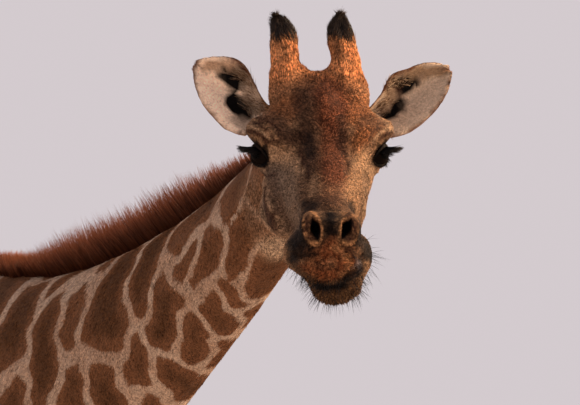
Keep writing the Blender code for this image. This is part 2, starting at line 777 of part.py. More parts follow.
def build():
    clear_scene()
    helpers = new_collection("helpers")
    animal = new_collection("giraffe")
    neck = [loft_mesh("neck", neck_stations(), 40, 28)]
    head = placed(skull_masses() + horn_masses() + jaw_masses(), head_matrix())
    body = sculpted("body", trunk_masses() + leg_masses() + neck, BODY_CLAY, helpers)
    face = sculpted("face", head + neck, HEAD_CLAY, helpers)
    body = thinned(body, BODY_TRIANGLES, "body", helpers)
    face = thinned(face, HEAD_TRIANGLES, "face", helpers)
    pieces = body_pieces(body, helpers)
    pieces.update(head_pieces(face, helpers))
    pieces.update(mane_pieces(pieces, helpers))
    pieces.update(tail_pieces(pieces, helpers))
    pieces.update(ear_pieces(pieces, helpers))
    pieces.update(eye_pieces(helpers))
    materials = {name: new_material(name, *look) for name, look in FINISHES.items()}
    low, high = bounds(pieces.values())
    shift = Matrix.Translation((-(low.x + high.x) / 2, -(low.y + high.y) / 2, -low.z))
    meshes = {name: piece.data.copy() for name, piece in pieces.items()}
    for helper in list(helpers.objects):
        bpy.data.objects.remove(helper)
    for name, mesh in meshes.items():
        mesh.transform(shift)
        mesh.materials.clear()
        mesh.materials.append(materials[finish_of(name)])
        add_object(name, mesh, animal)


def bounds(objects):
    points = [v.co for obj in objects for v in obj.data.vertices]
    low = Vector(min(p[k] for p in points) for k in range(3))
    high = Vector(max(p[k] for p in points) for k in range(3))
    return low, high


build()
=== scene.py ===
"""A grown giraffe cow, life size: a furred skin over the solids, with mane, eyes, hooves and long hair."""
import math

import bmesh
import bpy
import numpy as np
from mathutils import Matrix, Vector
from mathutils.bvhtree import BVHTree


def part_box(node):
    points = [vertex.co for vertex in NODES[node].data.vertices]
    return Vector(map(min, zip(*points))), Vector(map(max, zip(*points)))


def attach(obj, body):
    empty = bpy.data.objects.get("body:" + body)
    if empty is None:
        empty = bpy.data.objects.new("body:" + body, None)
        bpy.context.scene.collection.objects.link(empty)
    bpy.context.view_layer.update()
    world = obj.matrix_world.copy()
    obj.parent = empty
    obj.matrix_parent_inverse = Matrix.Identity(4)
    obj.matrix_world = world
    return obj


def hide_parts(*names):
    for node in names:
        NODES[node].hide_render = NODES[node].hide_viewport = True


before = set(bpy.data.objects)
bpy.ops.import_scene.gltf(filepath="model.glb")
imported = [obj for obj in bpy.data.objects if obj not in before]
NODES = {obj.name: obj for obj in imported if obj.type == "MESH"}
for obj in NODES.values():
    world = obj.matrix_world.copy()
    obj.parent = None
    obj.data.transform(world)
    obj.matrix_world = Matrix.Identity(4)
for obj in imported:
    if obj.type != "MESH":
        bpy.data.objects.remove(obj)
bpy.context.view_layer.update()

# ---------------------------------------------------------------- named sizes, in metres and degrees
HEAD_DIP = 9.5  # the nose points this far below the level
EYE_BACK = 0.002  # the eyes' centres lie this far behind the head frame's origin
EYE_DROP = 0.003
SKULL_BACK = Vector((-0.20, 0, -0.02))  # where the neck's course ends, in the head's frame
NECK_LENGTH = 1.62
# Distance up the neck, rise and swing of its course there.
NECK_BENDS = (
    (0.0, 12, 0), (0.2, 14, 0), (0.4, 17, 0), (0.6, 19, 0), (0.8, 20, 1),
    (1.0, 21, 2), (1.2, 22.5, 4), (1.4, 24, 6), (1.62, 25.5, 9),
)
FINE_VOXEL = 0.0025  # head
COARSE_VOXEL = 0.0075  # neck and body
FINE_FROM = 1.20  # distance up the neck where the finer skin begins
SEAM_WIDTH = 0.006
MANE_REACH = 0.12  # how far from the mane its lengths still tell
FINE_TRIANGLES = 98000
COARSE_TRIANGLES = 98000
SWELL = 0.0005  # of the solids, so that neighbours overlap and melt together
COAT_DEPTH = 0.0045  # of the skin under the coat's tips, on the body
SOCK_DEPTH = 0.006  # how far the skin draws in to pass inside the hooves
SKIN_LOWEST = 0.022  # over the ground
HOOF_VOXEL = 0.003
CREST_SOFTENING = 0.6  # of the muzzle's sharp upper edge, in each round
CREST_ROUNDS = 30
LEGS = [end + side for end in ("front_", "hind_") for side in ("left", "right")]
LEG_SOLIDS = [f"leg_{leg}_{part}" for leg in LEGS for part in ("upper", "lower")]
HOOVES = [f"hoof_{leg}_{claw}" for leg in LEGS for claw in ("inner", "outer")]
MANE = ["mane_lower", "mane_middle", "mane_upper"]
SIDES = {"right": -1, "left": 1}
FLESH = ["trunk", "neck_lower", "neck_middle", "neck_upper", "head", "lower_jaw", "tail"] + LEG_SOLIDS
FLESH += [part + side for part in ("ear_", "ossicone_") for side in SIDES]


# ---------------------------------------------------------------- meshes and number arrays
def points_of(mesh):
    flat = np.empty(len(mesh.vertices) * 3, np.float32)
    mesh.vertices.foreach_get("co", flat)
    return flat.reshape(-1, 3).astype(float)


def normals_of(mesh):
    flat = np.empty(len(mesh.vertices) * 3, np.float32)
    mesh.vertex_normals.foreach_get("vector", flat)
    return flat.reshape(-1, 3).astype(float)


def edges_of(mesh):
    flat = np.empty(len(mesh.edges) * 2, np.int32)
    mesh.edges.foreach_get("vertices", flat)
    return flat.reshape(-1, 2)


def set_points(mesh, points):
    mesh.vertices.foreach_set("co", points.astype(np.float32).ravel())
    mesh.update()


def store(mesh, name, values):
    """Keeps one number, colour or direction for each vertex as a named attribute."""
    values = np.asarray(values, np.float32)
    kind = "FLOAT" if values.ndim == 1 else {3: "FLOAT_VECTOR", 4: "FLOAT_COLOR"}[values.shape[1]]
    field = {"FLOAT": "value", "FLOAT_VECTOR": "vector", "FLOAT_COLOR": "color"}[kind]
    attribute = mesh.attributes.new(name, kind, "POINT")
    attribute.data.foreach_set(field, values.ravel())


def step(low, high, x):
    """0 below low, 1 above high and smooth between; high may be the lower one."""
    t = np.clip((np.asarray(x, float) - low) / (high - low), 0, 1)
    return t * t * (3 - 2 * t)


def bell(x, width):
    return np.exp(-((np.asarray(x) / width) ** 2))


def unit(vectors):
    return vectors / np.maximum(np.linalg.norm(vectors, axis=-1, keepdims=True), 1e-9)


def metres(places):
    """Places listed in millimetres, in metres."""
    return np.array(places, float) / 1000


def path_distance(points, path):
    """How far each point is from a bent line, and how far up the line its nearest place is, from 0 to 1."""
    path = np.array(path, float)
    lengths = np.linalg.norm(path[1:] - path[:-1], axis=1)
    best = np.full(len(points), 1e9)
    share = np.zeros(len(points))
    start = 0.0
    for low, high, length in zip(path[:-1], path[1:], lengths):
        t = np.clip((points - low) @ (high - low) / max(length, 1e-6) ** 2, 0, 1)
        distance = np.linalg.norm(points - low - t[:, None] * (high - low), axis=1)
        nearer = distance < best
        best = np.where(nearer, distance, best)
        share = np.where(nearer, (start + t * length) / lengths.sum(), share)
        start += length
    return best, share


def add_object(name, mesh):
    obj = bpy.data.objects.new(name, mesh)
    bpy.context.scene.collection.objects.link(obj)
    return obj


def after_modifiers(obj, name):
    """The object's mesh with its modifiers applied; the object goes."""
    graph = bpy.context.evaluated_depsgraph_get()
    mesh = bpy.data.meshes.new_from_object(obj.evaluated_get(graph))
    mesh.name = name
    bpy.data.objects.remove(obj)
    return mesh


def solids(names, swell):
    """One mesh of the named solids, each closed up and swollen a little, so that neighbours overlap."""
    bm = bmesh.new()
    for name in names:
        bm.from_mesh(NODES[name].data)
    bmesh.ops.remove_doubles(bm, verts=bm.verts, dist=1e-5)
    bm.normal_update()
    for vert in bm.verts:
        vert.co += vert.normal * swell
    mesh = bpy.data.meshes.new("solids")
    bm.to_mesh(mesh)
    bm.free()
    return mesh


def remeshed(mesh, voxel):
    obj = add_object("clay", mesh)
    clay = obj.modifiers.new("voxels", "REMESH")
    clay.mode = "VOXEL"
    clay.voxel_size = voxel
    return after_modifiers(obj, "clay")


def evened(points, edges, strengths, share=1.0):
    """Moves every vertex towards the middle of its neighbours, once for each strength."""
    ends = np.concatenate((edges, edges[:, ::-1]))
    valence = np.maximum(np.bincount(ends[:, 0], minlength=len(points)), 1)[:, None]
    for strength in strengths:
        sums = [np.bincount(ends[:, 0], points[ends[:, 1], k], len(points)) for k in range(3)]
        points = points + (np.stack(sums, 1) / valence - points) * share * strength
    return points


def relaxed(points, edges, rounds):
    """Evens out facets without shrinking: each round smooths and then swells back."""
    return evened(points, edges, (0.55, -0.57) * rounds)


def thinned(mesh, triangles, weights):
    """Fewer triangles: none go where the weights are 0, and those left lie closer where they are low."""
    obj = add_object("thinning", mesh)
    group = obj.vertex_groups.new(name="spare")
    levels = np.round(np.clip(weights, 0, 1) * 4) / 4
    for level in np.unique(levels):
        group.add(np.nonzero(levels == level)[0].tolist(), float(level), "REPLACE")
    modifier = obj.modifiers.new("thin", "DECIMATE")
    modifier.vertex_group = "spare"
    modifier.vertex_group_factor = 0.05
    modifier.ratio = triangles / sum(len(p.vertices) - 2 for p in mesh.polygons)
    return after_modifiers(obj, "thinned")


def cut(mesh, point, normal):
    """Keeps what lies on the side of the plane that the normal points to."""
    bm = bmesh.new()
    bm.from_mesh(mesh)
    everything = bm.verts[:] + bm.edges[:] + bm.faces[:]
    bmesh.ops.bisect_plane(bm, geom=everything, plane_co=point, plane_no=normal, clear_inner=True)
    bm.to_mesh(mesh)
    bm.free()


# ---------------------------------------------------------------- places on the animal
def node_centre(name):
    low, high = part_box(name)
    return (low + high) / 2


def head_place():
    """The head's own frame: X to the muzzle, Y to her left, Z up, with its origin between the eyes."""
    left, right = node_centre("eye_left"), node_centre("eye_right")
    to_left = (left - right).normalized()
    level = to_left.cross(Vector((0, 0, 1)))
    dip = math.radians(HEAD_DIP)
    ahead = level * math.cos(dip) - Vector((0, 0, 1)) * math.sin(dip)
    up = ahead.cross(to_left)
    place = Matrix((ahead, to_left, up)).transposed().to_4x4()
    place.translation = (left + right) / 2 + ahead * EYE_BACK + up * EYE_DROP
    return place


HEAD = head_place()
TO_HEAD = np.array(HEAD.inverted())
HEAD_AXES = np.array(HEAD)[:3, :3]


def in_head(points):
    return points @ TO_HEAD[:3, :3].T + TO_HEAD[:3, 3]


def from_head(points):
    return np.asarray(points) @ HEAD_AXES.T + np.array(HEAD.translation)


def neck_course(count=33):
    """Points up the middle of the neck, from its root to the back of the skull, and the direction at each."""
    bends = np.array(NECK_BENDS, float)
    at = np.linspace(0, NECK_LENGTH, count)
    rise, swing = (np.radians(np.interp(at, bends[:, 0], bends[:, k])) for k in (1, 2))
    way = np.stack((np.cos(rise) * np.cos(swing), -np.cos(rise) * np.sin(swing), np.sin(rise)), 1)
    steps = way[:-1] * NECK_LENGTH / (count - 1)
    course = np.concatenate((np.zeros((1, 3)), np.cumsum(steps, 0)))
    return course + np.array(HEAD @ SKULL_BACK) - course[-1], way


NECK, NECK_WAY = neck_course()


def up_the_neck(points):
    """Distance up the neck, degrees round it from the crest over her right side, and distance out."""
    best = np.full(len(points), 1e9)
    along = np.zeros(len(points))
    angle = np.zeros(len(points))
    for i, (low, high, way) in enumerate(zip(NECK[:-1], NECK[1:], NECK_WAY)):
        length = np.linalg.norm(high - low)
        run = (points - low) @ way
        t = np.clip(run, 0 if i else -9, length if i < len(NECK) - 2 else 9)
        offset = points - low - t[:, None] * way
        distance = np.linalg.norm(offset, axis=1)
        side = unit(np.cross((0, 0, 1), way))
        turn = np.degrees(np.arctan2(-(offset @ side), offset @ np.cross(way, side)))
        nearer = distance < best
        best = np.where(nearer, distance, best)
        along = np.where(nearer, i * length + t, along)
        angle = np.where(nearer, turn, angle)
    return along, angle, best


def seam():
    """Where the finer skin of the head meets the body's, and the way up the neck there."""
    count = len(NECK) - 1
    i = int(FINE_FROM / NECK_LENGTH * count)
    return NECK[i] + NECK_WAY[i] * (FINE_FROM - i * NECK_LENGTH / count), NECK_WAY[i]


# ---------------------------------------------------------------- the skin's raw form
def gap_to(names, points, reach):
    """How far each point is from the surface of the named solids, up to the reach."""
    mesh = solids(names, 0)
    places = [v.co.copy() for v in mesh.vertices]
    tree = BVHTree.FromPolygons(places, [tuple(p.vertices) for p in mesh.polygons])
    gaps = np.full(len(points), reach)
    for i, point in enumerate(points):
        found = tree.find_nearest(point, reach)
        if found[0] is not None:
            gaps[i] = found[3]
    return gaps


def coat_depth(points):
    """How far the skin lies inside the solids, which reach out to the tips of the coat."""
    x, y, z = in_head(points).T
    along, _, _ = up_the_neck(points)
    depth = COAT_DEPTH - 0.0022 * step(1.40, 1.60, along)
    depth = depth - 0.0008 * step(0.20, 0.30, x) * step(0.5, 0.2, np.abs(y))
    on_horn = step(0.11, 0.14, z) * step(-0.04, -0.07, x)
    tip = step(0.180, 0.225, z) * on_horn
    on_ear = step(0.105, 0.135, np.abs(y)) * step(-0.11, -0.13, x) * step(-0.26, -0.23, x)
    depth = depth * (1 - 0.55 * on_horn) * (1 - 0.85 * on_ear)
    return depth + 0.0060 * tip


def clay(names, voxel, rounds):
    """The named solids, melted together and evened out."""
    mesh = remeshed(solids(names, SWELL), voxel)
    set_points(mesh, relaxed(points_of(mesh), edges_of(mesh), rounds))
    return mesh


def fine_clay():
    names = ["head", "lower_jaw", "neck_upper", "ear_left", "ear_right"]
    names += [part + side for part in ("ossicone_", "ossicone_tuft_", "eye_") for side in SIDES]
    return clay(names, FINE_VOXEL, rounds=9)


def coarse_clay():
    names = ["trunk", "neck_lower", "neck_middle", "neck_upper", "tail"]
    return clay(names + LEG_SOLIDS + HOOVES, COARSE_VOXEL, rounds=10)


# ---------------------------------------------------------------- eyes, lids, nostrils, mouth and folds
EYE_RADIUS = 0.0245
EYE_OUT = 0.098  # of an eye's centre from the midline
GAZE = unit(np.array((0.60, 0.80, -0.02)))  # her left eye's axis, in the head's frame
GAZE_FRONT = -unit(np.cross((0, 0, 1.0), GAZE))  # from that axis towards the eye's front corner
GAZE_TOP = np.cross(GAZE, -GAZE_FRONT)
LID_SPAN = 60.0  # degrees from the eye's axis to either corner
LID_HEIGHT = (40.0, 34.0)  # above and below the line between the corners, in degrees
CORNER_LINE = (-5.0, -11.0)  # height of that line at the eye's axis, and its fall to the front corner
LID_ROUND = 0.7  # power of the arch between the corners
LID_THICKNESS = 0.0027
LID_TUCK = 0.0062  # how far the skin drops behind the edge of a lid
# Folds of the lids: how high, how far outside the opening, how wide, and how high they are full, in degrees.
LID_FOLDS = ((-0.0018, 0.0080, 0.0017, 12), (0.0012, 0.0045, 0.0022, 12), (-0.0012, 0.0100, 0.0018, -12))


def eye_centre(side):
    return np.array((-EYE_BACK, side * EYE_OUT, -EYE_DROP))


def lid_opening(head_points, side):
    """Distance into the opening between the lids, height over the line of its corners, and distance out."""
    offset = (head_points - eye_centre(side)) * (1, side, 1)
    reach = np.linalg.norm(offset, axis=1)
    ahead, facing = offset @ GAZE_FRONT, offset @ GAZE
    across = np.degrees(np.arctan2(ahead, facing))
    height = np.degrees(np.arctan2(offset @ GAZE_TOP, np.maximum(np.hypot(ahead, facing), 1e-9)))
    t = np.clip(across / LID_SPAN, -1.6, 1.6)
    arch = np.sign(1 - t * t) * np.abs(1 - t * t) ** LID_ROUND
    line = CORNER_LINE[0] + CORNER_LINE[1] * t
    inside = np.minimum(line + LID_HEIGHT[0] * arch - height, height - line + LID_HEIGHT[1] * arch)
    return np.radians(inside) * EYE_RADIUS, height - line, reach


def with_lids(head_points, side):
    """Draws the skin over the eyeball as two lids with a fold above and a bag below, and opens them."""
    inside, height, reach = lid_opening(head_points, side)
    offset = head_points - eye_centre(side)
    facing = (offset * (1, side, 1)) @ GAZE
    lid = EYE_RADIUS + LID_THICKNESS - LID_TUCK * step(-0.0006, 0.0016, inside)
    for fold, outside, width, full in LID_FOLDS:
        lid = lid + fold * bell(inside + outside, width) * step(0, full, height)
    hold = step(-0.018, -0.007, inside) * step(0.055, 0.040, reach) * step(-0.010, 0.004, facing)
    covered = np.where(reach < 0.040, np.maximum(reach, EYE_RADIUS + 0.0020), reach)
    wanted = covered + (lid - covered) * hold
    return eye_centre(side) + offset * (wanted / np.maximum(reach, 1e-9))[:, None]


NOSTRIL = (0.0268, -0.0815)  # out from the midline and up, seen from the front
NOSTRIL_HALF = (0.0086, 0.0200)
NOSTRIL_LEAN = {-1: (-0.25, -0.968), 1: (-0.47, -0.883)}  # down the slit, towards the midline, by side
WING = (0.0318, -0.0800)  # middle of the ring round the nostril
WING_HALF = (0.0158, 0.0265)
WING_LEAN = (-0.18, -0.984)
SLIT_DEPTH = 0.016  # of the nostril
DISH_DEPTH = 0.0030  # of the hollow that it lies in
RING_HEIGHT = 0.0022


def oval_measure(head_points, side, middle, half, lean, power):
    """0 in the middle of an oval on the muzzle's front, 1 at its edge; a low power makes it a lozenge."""
    out = head_points[:, 1] * side - middle[0]
    rise = head_points[:, 2] - middle[1]
    down = (out * lean[0] + rise * lean[1]) / half[1]
    over = (out * -lean[1] + rise * lean[0]) / half[0]
    return (np.abs(over) ** power + np.abs(down) ** power) ** (1 / power)


def nostril_measure(head_points, side):
    return oval_measure(head_points, side, NOSTRIL, NOSTRIL_HALF, NOSTRIL_LEAN[side], 1.3)


def wing_measure(head_points, side):
    return oval_measure(head_points, side, WING, WING_HALF, WING_LEAN, 2.0)


# The line between the lips from her right corner of the mouth to her left, and the gap where they part.
MOUTH = metres((
    (190, -50, -160), (270, -63, -168), (345, -58, -174), (376, -38, -171), (388, -1, -172),
    (392, 20, -164), (388, 44, -149), (368, 61, -137), (330, 68, -142), (270, 64, -156), (190, 51, -162),
))
WET_GAP = metres(((392, 26, -160), (384, 50, -146)))
LIP_GROOVE = (0.0065, 0.0020)  # how deep and how wide
WET_GROOVE = (0.0070, 0.0042)
LIP_SWELL = 0.0016
EAR_CUP = 0.036  # how far the lower edge of an ear curls forward
FOLD_DEPTH = 2.8
# Folds of the skin, in millimetres: how high (minus for a groove), how wide, and the line on her left.
# Both sides have them.
FOLDS = (
    (-2, 3.5, (100, 38, 16), (138, 42, -2), (170, 46, -20)),
    (-1.2, 3, (30, 100, -30), (60, 86, -34), (95, 72, -36)),
    (-1.1, 2.2, (-30, 126, 40), (0, 124, 46), (24, 108, 44), (45, 88, 32)),
    (-1.1, 2.2, (-34, 122, 50), (0, 116, 56), (26, 102, 54), (52, 80, 40)),
    (-0.9, 2.2, (-30, 112, 61), (2, 106, 66), (30, 92, 62), (58, 72, 46)),
    (2.6, 3.5, (-85, 96, -45), (-66, 99, -90), (-40, 86, -135), (10, 70, -165)),
    (-2, 4, (-74, 98, -60), (-50, 96, -100), (-20, 80, -138)),
    (2.2, 3, (-58, 96, -52), (-18, 89, -87), (6, 75, -113), (-6, 72, -140)),
    (-1.6, 3, (330, 52, -92), (360, 56, -112), (384, 46, -118)),
    (-1.4, 2.6, (345, 66, -112), (372, 60, -126), (386, 44, -134)),
    (-1, 2.6, (-135, 100, 15), (-110, 108, 40), (-80, 112, 55)),
)


def both_folds():
    """Every fold's height, width and line in metres, on her right and on her left."""
    for height, width, *line in FOLDS:
        for side in SIDES.values():
            yield height / 1000, width / 1000, metres(line) * (1, side, 1)


def stroke(points, middle, sizes, softness=0.45):
    """1 within a soft ellipsoid, falling to 0 beyond it."""
    reach = np.linalg.norm((points - np.array(middle)) / np.array(sizes), axis=1)
    return step(1 + softness, 1 - softness, reach)


# Root and tip of each ear, in the head's frame.
EAR_ROOTS = {
    "right": ((-0.138, -0.092, 0.034), (-0.196, -0.218, 0.138)),
    "left": ((-0.138, 0.094, 0.032), (-0.202, 0.246, 0.128)),
}
# Where the upper edge of each ear stands out: share of the way to the tip, how far and how wide.
EAR_SHOULDERS = {"right": (0.62, 0.009, 0.20), "left": (0.42, 0.010, 0.12)}


def ear_axes(side_name):
    """Root of the ear, its length, and its directions to the tip, out of the cup and up."""
    root, tip = (np.array(p) for p in EAR_ROOTS[side_name])
    length = np.linalg.norm(tip - root)
    along = (tip - root) / length
    facing = np.array((1, 0.25 * np.sign(tip[1]), -0.10))
    facing = unit(facing - along * (facing @ along))
    return root, length, along, facing, np.cross(facing, along) * np.sign(tip[1])


def ear_places(head, normals, side_name):
    """Share of the way to the tip, height above the ear's middle, share inside the cup, and membership."""
    root, length, along, facing, upward = ear_axes(side_name)
    offset = head - root
    u = offset @ along / length
    above = offset @ upward
    beside = (np.abs(above) < 0.075) & (np.abs(offset @ facing) < 0.05) & (np.abs(head[:, 1]) > 0.095)
    member = step(0.02, 0.10, u) * beside
    inner = step(-0.2, 0.2, normals @ (HEAD_AXES @ facing))
    return u, above, inner, member


# Places pulled towards the midline: side, how far, middle and half sizes.
SLIMMED = (
    (-1, 0.013, (0.350, -0.068, -0.165), (0.060, 0.032, 0.030)),
    (-1, 0.010, (0.330, -0.060, -0.205), (0.070, 0.034, 0.034)),
    (-1, 0.018, (0.350, -0.040, -0.248), (0.075, 0.034, 0.034)),
    (1, 0.006, (0.350, 0.060, -0.235), (0.070, 0.026, 0.026)),
    (-1, -0.010, (-0.020, -0.086, -0.118), (0.060, 0.034, 0.040)),
    (1, 0.010, (-0.010, 0.088, -0.100), (0.080, 0.034, 0.055)),
    (-1, -0.006, (-0.100, -0.084, 0.104), (0.050, 0.022, 0.030)),
    (1, -0.008, (-0.100, 0.082, 0.094), (0.050, 0.022, 0.028)),
)


def carve_nostrils(moved, normals, head):
    """The slit of each nostril, the dish that it lies in and the ring that stands up round both."""
    muzzle = step(0.325, 0.345, head[:, 0])
    for side in SIDES.values():
        own = muzzle * (head[:, 1] * side > 0)
        wing = wing_measure(head, side)
        slit = step(1.05, 0.5, nostril_measure(head, side))
        pit = SLIT_DEPTH * slit * own + DISH_DEPTH * step(0.95, 0.6, wing) * own
        moved += HEAD_AXES[:, 0] * -pit[:, None]
        moved += normals * (RING_HEIGHT * bell(wing - 1.02, 0.16) * own)[:, None]


def carve_mouth(moved, normals, head):
    distance, _ = path_distance(head, MOUTH)
    wet, _ = path_distance(head, WET_GAP)
    groove = LIP_GROOVE[0] * bell(distance, LIP_GROOVE[1]) + WET_GROOVE[0] * bell(wet, WET_GROOVE[1])
    over = LIP_SWELL * bell(distance - 0.006, 0.0035)
    moved += normals * (over - groove)[:, None]


def shape_ears(moved, normals, head):
    """Curls the lower edge of each ear forward and raises the shoulder of its upper edge."""
    for side_name in SIDES:
        u, above, _, member = ear_places(head, normals, side_name)
        moved += HEAD_AXES[:, 0] * (EAR_CUP * member * step(0.004, -0.046, above))[:, None]
        share, height, width = EAR_SHOULDERS[side_name]
        raised = height * member * bell(u - share, width) * step(0.002, 0.030, above)
        moved += (HEAD_AXES @ ear_axes(side_name)[4]) * raised[:, None]


def shape_bones(moved, head):
    """Leans the horns towards her right, lowers the muzzle's crest and slims the jaws and cheeks."""
    x, y, z = head.T
    on_horns = (x < -0.07) & (np.abs(y) < 0.1)
    lean = 0.0059 * step(0.115, 0.155, z) * (y < 0)
    lean += 0.0080 * bell(z - 0.190, 0.028) * (y > 0)
    moved -= HEAD_AXES[:, 1] * (lean * on_horns)[:, None]
    crest = 0.0065 * stroke(head, (0.354, 0.004, -0.050), (0.034, 0.044, 0.022))
    moved -= HEAD_AXES[:, 2] * crest[:, None]
    for side, depth, middle, sizes in SLIMMED:
        pull = depth * stroke(head, middle, sizes)
        moved += (np.array((0, -side, 0.0)) @ HEAD_AXES.T) * pull[:, None]


def carve_folds(moved, normals, head):
    for height, width, line in both_folds():
        distance, share = path_distance(head, line)
        ends = step(0, 0.15, share) * step(1, 0.85, share)
        moved += normals * (FOLD_DEPTH * height * bell(distance, width) * ends)[:, None]


def carved(points, normals, head):
    """The head's points, moved to give it nostrils, mouth, ears, horns, jaws and folds."""
    moved = points.copy()
    carve_nostrils(moved, normals, head)
    carve_mouth(moved, normals, head)
    shape_ears(moved, normals, head)
    shape_bones(moved, head)
    carve_folds(moved, normals, head)
    return moved


def finer_near(mesh, places, reach):
    """Splits every edge near the places in two."""
    bm = bmesh.new()
    bm.from_mesh(mesh)
    bm.verts.ensure_lookup_table()
    close = np.zeros(len(bm.verts), bool)
    for place in places:
        close |= np.linalg.norm(points_of(mesh) - place, axis=1) < reach
    edges = [e for e in bm.edges if close[e.verts[0].index] and close[e.verts[1].index]]
    bmesh.ops.subdivide_edges(bm, edges=edges, cuts=1, use_grid_fill=True)
    bm.to_mesh(mesh)
    bm.free()


def head_skin():
    mesh = fine_clay()
    points = points_of(mesh)
    set_points(mesh, points - normals_of(mesh) * coat_depth(points)[:, None])
    eyes = [from_head(eye_centre(side)) for side in SIDES.values()]
    nostrils = [from_head((0.385, side * NOSTRIL[0], NOSTRIL[1])) for side in SIDES.values()]
    for places, reach in ((eyes, 0.046), (eyes, 0.032), (nostrils, 0.034)):
        finer_near(mesh, places, reach)
    points = relaxed(points_of(mesh), edges_of(mesh), 2)
    crest = stroke(in_head(points), (0.335, 0, -0.058), (0.050, 0.050, 0.030))
    points = evened(points, edges_of(mesh), (CREST_SOFTENING,) * CREST_ROUNDS, crest[:, None])
    set_points(mesh, points)
    set_points(mesh, carved(points, normals_of(mesh), in_head(points)))
    head = in_head(points_of(mesh))
    for side in SIDES.values():
        head = with_lids(head, side)
    set_points(mesh, from_head(head))
    middle, way = seam()
    cut(mesh, Vector(middle), Vector(way))
    head = in_head(points_of(mesh))
    spare = 0.25 + 0.35 * step(0.10, -0.15, head[:, 0])
    for side in SIDES.values():
        spare = spare * step(0.045, 0.070, np.linalg.norm(head - eye_centre(side), axis=1))
    return thinned(mesh, FINE_TRIANGLES, spare)


def body_skin():
    mesh = coarse_clay()
    points, normals = points_of(mesh), normals_of(mesh)
    moved = points - normals * coat_depth(points)[:, None]
    hoof_top = max(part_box(name)[1].z for name in HOOVES)
    sock = step(hoof_top + 0.004, hoof_top - 0.012, points[:, 2])
    moved -= normals * (SOCK_DEPTH * sock)[:, None]
    moved[:, 2] = np.maximum(moved[:, 2], SKIN_LOWEST)
    set_points(mesh, moved)
    middle, way = seam()
    cut(mesh, Vector(middle - way * SEAM_WIDTH), Vector(-way))
    points = points_of(mesh)
    along, _, _ = up_the_neck(points)
    spare = 0.65 - 0.30 * step(0.20, 0.45, along) - 0.05 * step(1.4, 1.1, points[:, 2])
    return thinned(mesh, COARSE_TRIANGLES, spare)


def whole_skin():
    """Head and body joined round the neck into one closed surface of triangles."""
    bm = bmesh.new()
    bm.from_mesh(head_skin())
    bm.from_mesh(body_skin())
    bmesh.ops.bridge_loops(bm, edges=[e for e in bm.edges if e.is_boundary])
    bmesh.ops.triangulate(bm, faces=bm.faces)
    bmesh.ops.recalc_face_normals(bm, faces=bm.faces)
    if bm.calc_volume(signed=True) < 0:
        bmesh.ops.reverse_faces(bm, faces=bm.faces)
    mesh = bpy.data.meshes.new("skin")
    bm.to_mesh(mesh)
    bm.free()
    mesh.shade_smooth()
    return mesh


# ---------------------------------------------------------------- markings: the brown patches
LINE_HALF = 0.0085  # half of the pale line between two patches
CORNER_ROUND = 0.006
# The patches down her right side, from the jaw to the withers: how much further each reaches than those
# beside it, and a bent line of places, as the distance up the neck and the degrees round it from the crest.
NECK_PATCHES = (
    (0.018, (1.44, 56), (1.32, 88)), (0.012, (1.21, 42), (1.10, 63)), (0.012, (1.16, 84), (1.08, 95)),
    (0.014, (1.29, 102), (1.15, 126)), (0.018, (1.40, 112), (1.28, 146)), (0.006, (1.22, 146), (1.19, 170)),
    (0.015, (1.34, 170), (1.24, 178)), (0.018, (1.15, 144), (1.10, 174)), (0.016, (1.05, 151), (0.97, 172)),
    (0.026, (1.04, 112), (0.94, 134)), (0.020, (0.96, 38), (0.92, 88)),
    (0.024, (0.85, 34), (0.81, 58), (0.76, 80), (0.74, 98)), (0.018, (0.79, 88), (0.84, 102)),
    (0.016, (0.87, 131), (0.80, 152)), (0.022, (0.90, 163), (0.84, 188)), (0.022, (0.72, 124), (0.70, 146)),
    (0.012, (0.79, 163), (0.77, 172)), (0.036, (0.55, 46), (0.52, 96)),
    (0.014, (0.66, 34), (0.60, 42), (0.61, 70)), (0.030, (0.41, 30), (0.40, 66)),
    (0.000, (0.54, 21), (0.50, 28)), (0.000, (0.70, 24), (0.64, 30)),
    (0.016, (0.61, 114), (0.57, 126)), (0.022, (0.41, 88), (0.40, 100)), (0.008, (1.14, 199), (1.06, 206)),
    (0.014, (1.03, 192), (0.94, 196)), (0.004, (1.49, 64), (1.46, 98)),
)
MERGED = {12: 11}  # this patch is a branch of that one
PATCH_SEED = 11
PATCH_TRIES = 9000
NEAREST_PATCHES = 14  # those that a place is measured from
FAR = 9.0
BLOCK = 4000  # points measured at a time


def patch_spacing(points):
    """How far apart patch middles lie: wide on the trunk, closer towards the head and down the legs."""
    along, _, _ = up_the_neck(points)
    on_neck = 0.165 - 0.055 * step(0.3, 1.3, along)
    height = points[:, 2]
    body = 0.062 + 0.035 * step(0.55, 0.95, height) + 0.085 * step(1.0, 1.7, height)
    return np.where(along > 0.05, on_neck, body)


def grown_patches(points, known):
    """Patches for the rest of the animal: short lines set apart by the local spacing, on no regular grid."""
    rng = np.random.default_rng(PATCH_SEED)
    pool = points[rng.permutation(len(points))[:PATCH_TRIES]]
    spacing = patch_spacing(pool)
    middles = [np.mean(line, axis=0) for _, line in known]
    gaps = [0.5 * float(np.linalg.norm(line[-1] - line[0])) + 0.075 for _, line in known]
    along, angle, _ = up_the_neck(pool)
    hand_made = (along > 0.36) & (angle > 8) & (angle < 150)
    hand_made |= (along > 0.72) & ((angle > 8) | (angle < -150))
    hand_made |= along > 1.50
    grown = []
    for point, space in zip(pool[~hand_made], spacing[~hand_made]):
        away = np.linalg.norm(np.array(middles) - point, axis=1)
        if np.any(away < 0.5 * (np.array(gaps) + space)):
            continue
        middles.append(point)
        gaps.append(space)
        lean = rng.normal(0, 0.45)
        way = np.array((math.sin(lean) * 0.8, 0.15 * rng.normal(), -math.cos(lean)))
        half = space * rng.uniform(0.10, 0.24)
        grown.append((space * rng.uniform(-0.03, 0.05), np.array((point - way * half, point + way * half))))
    return grown


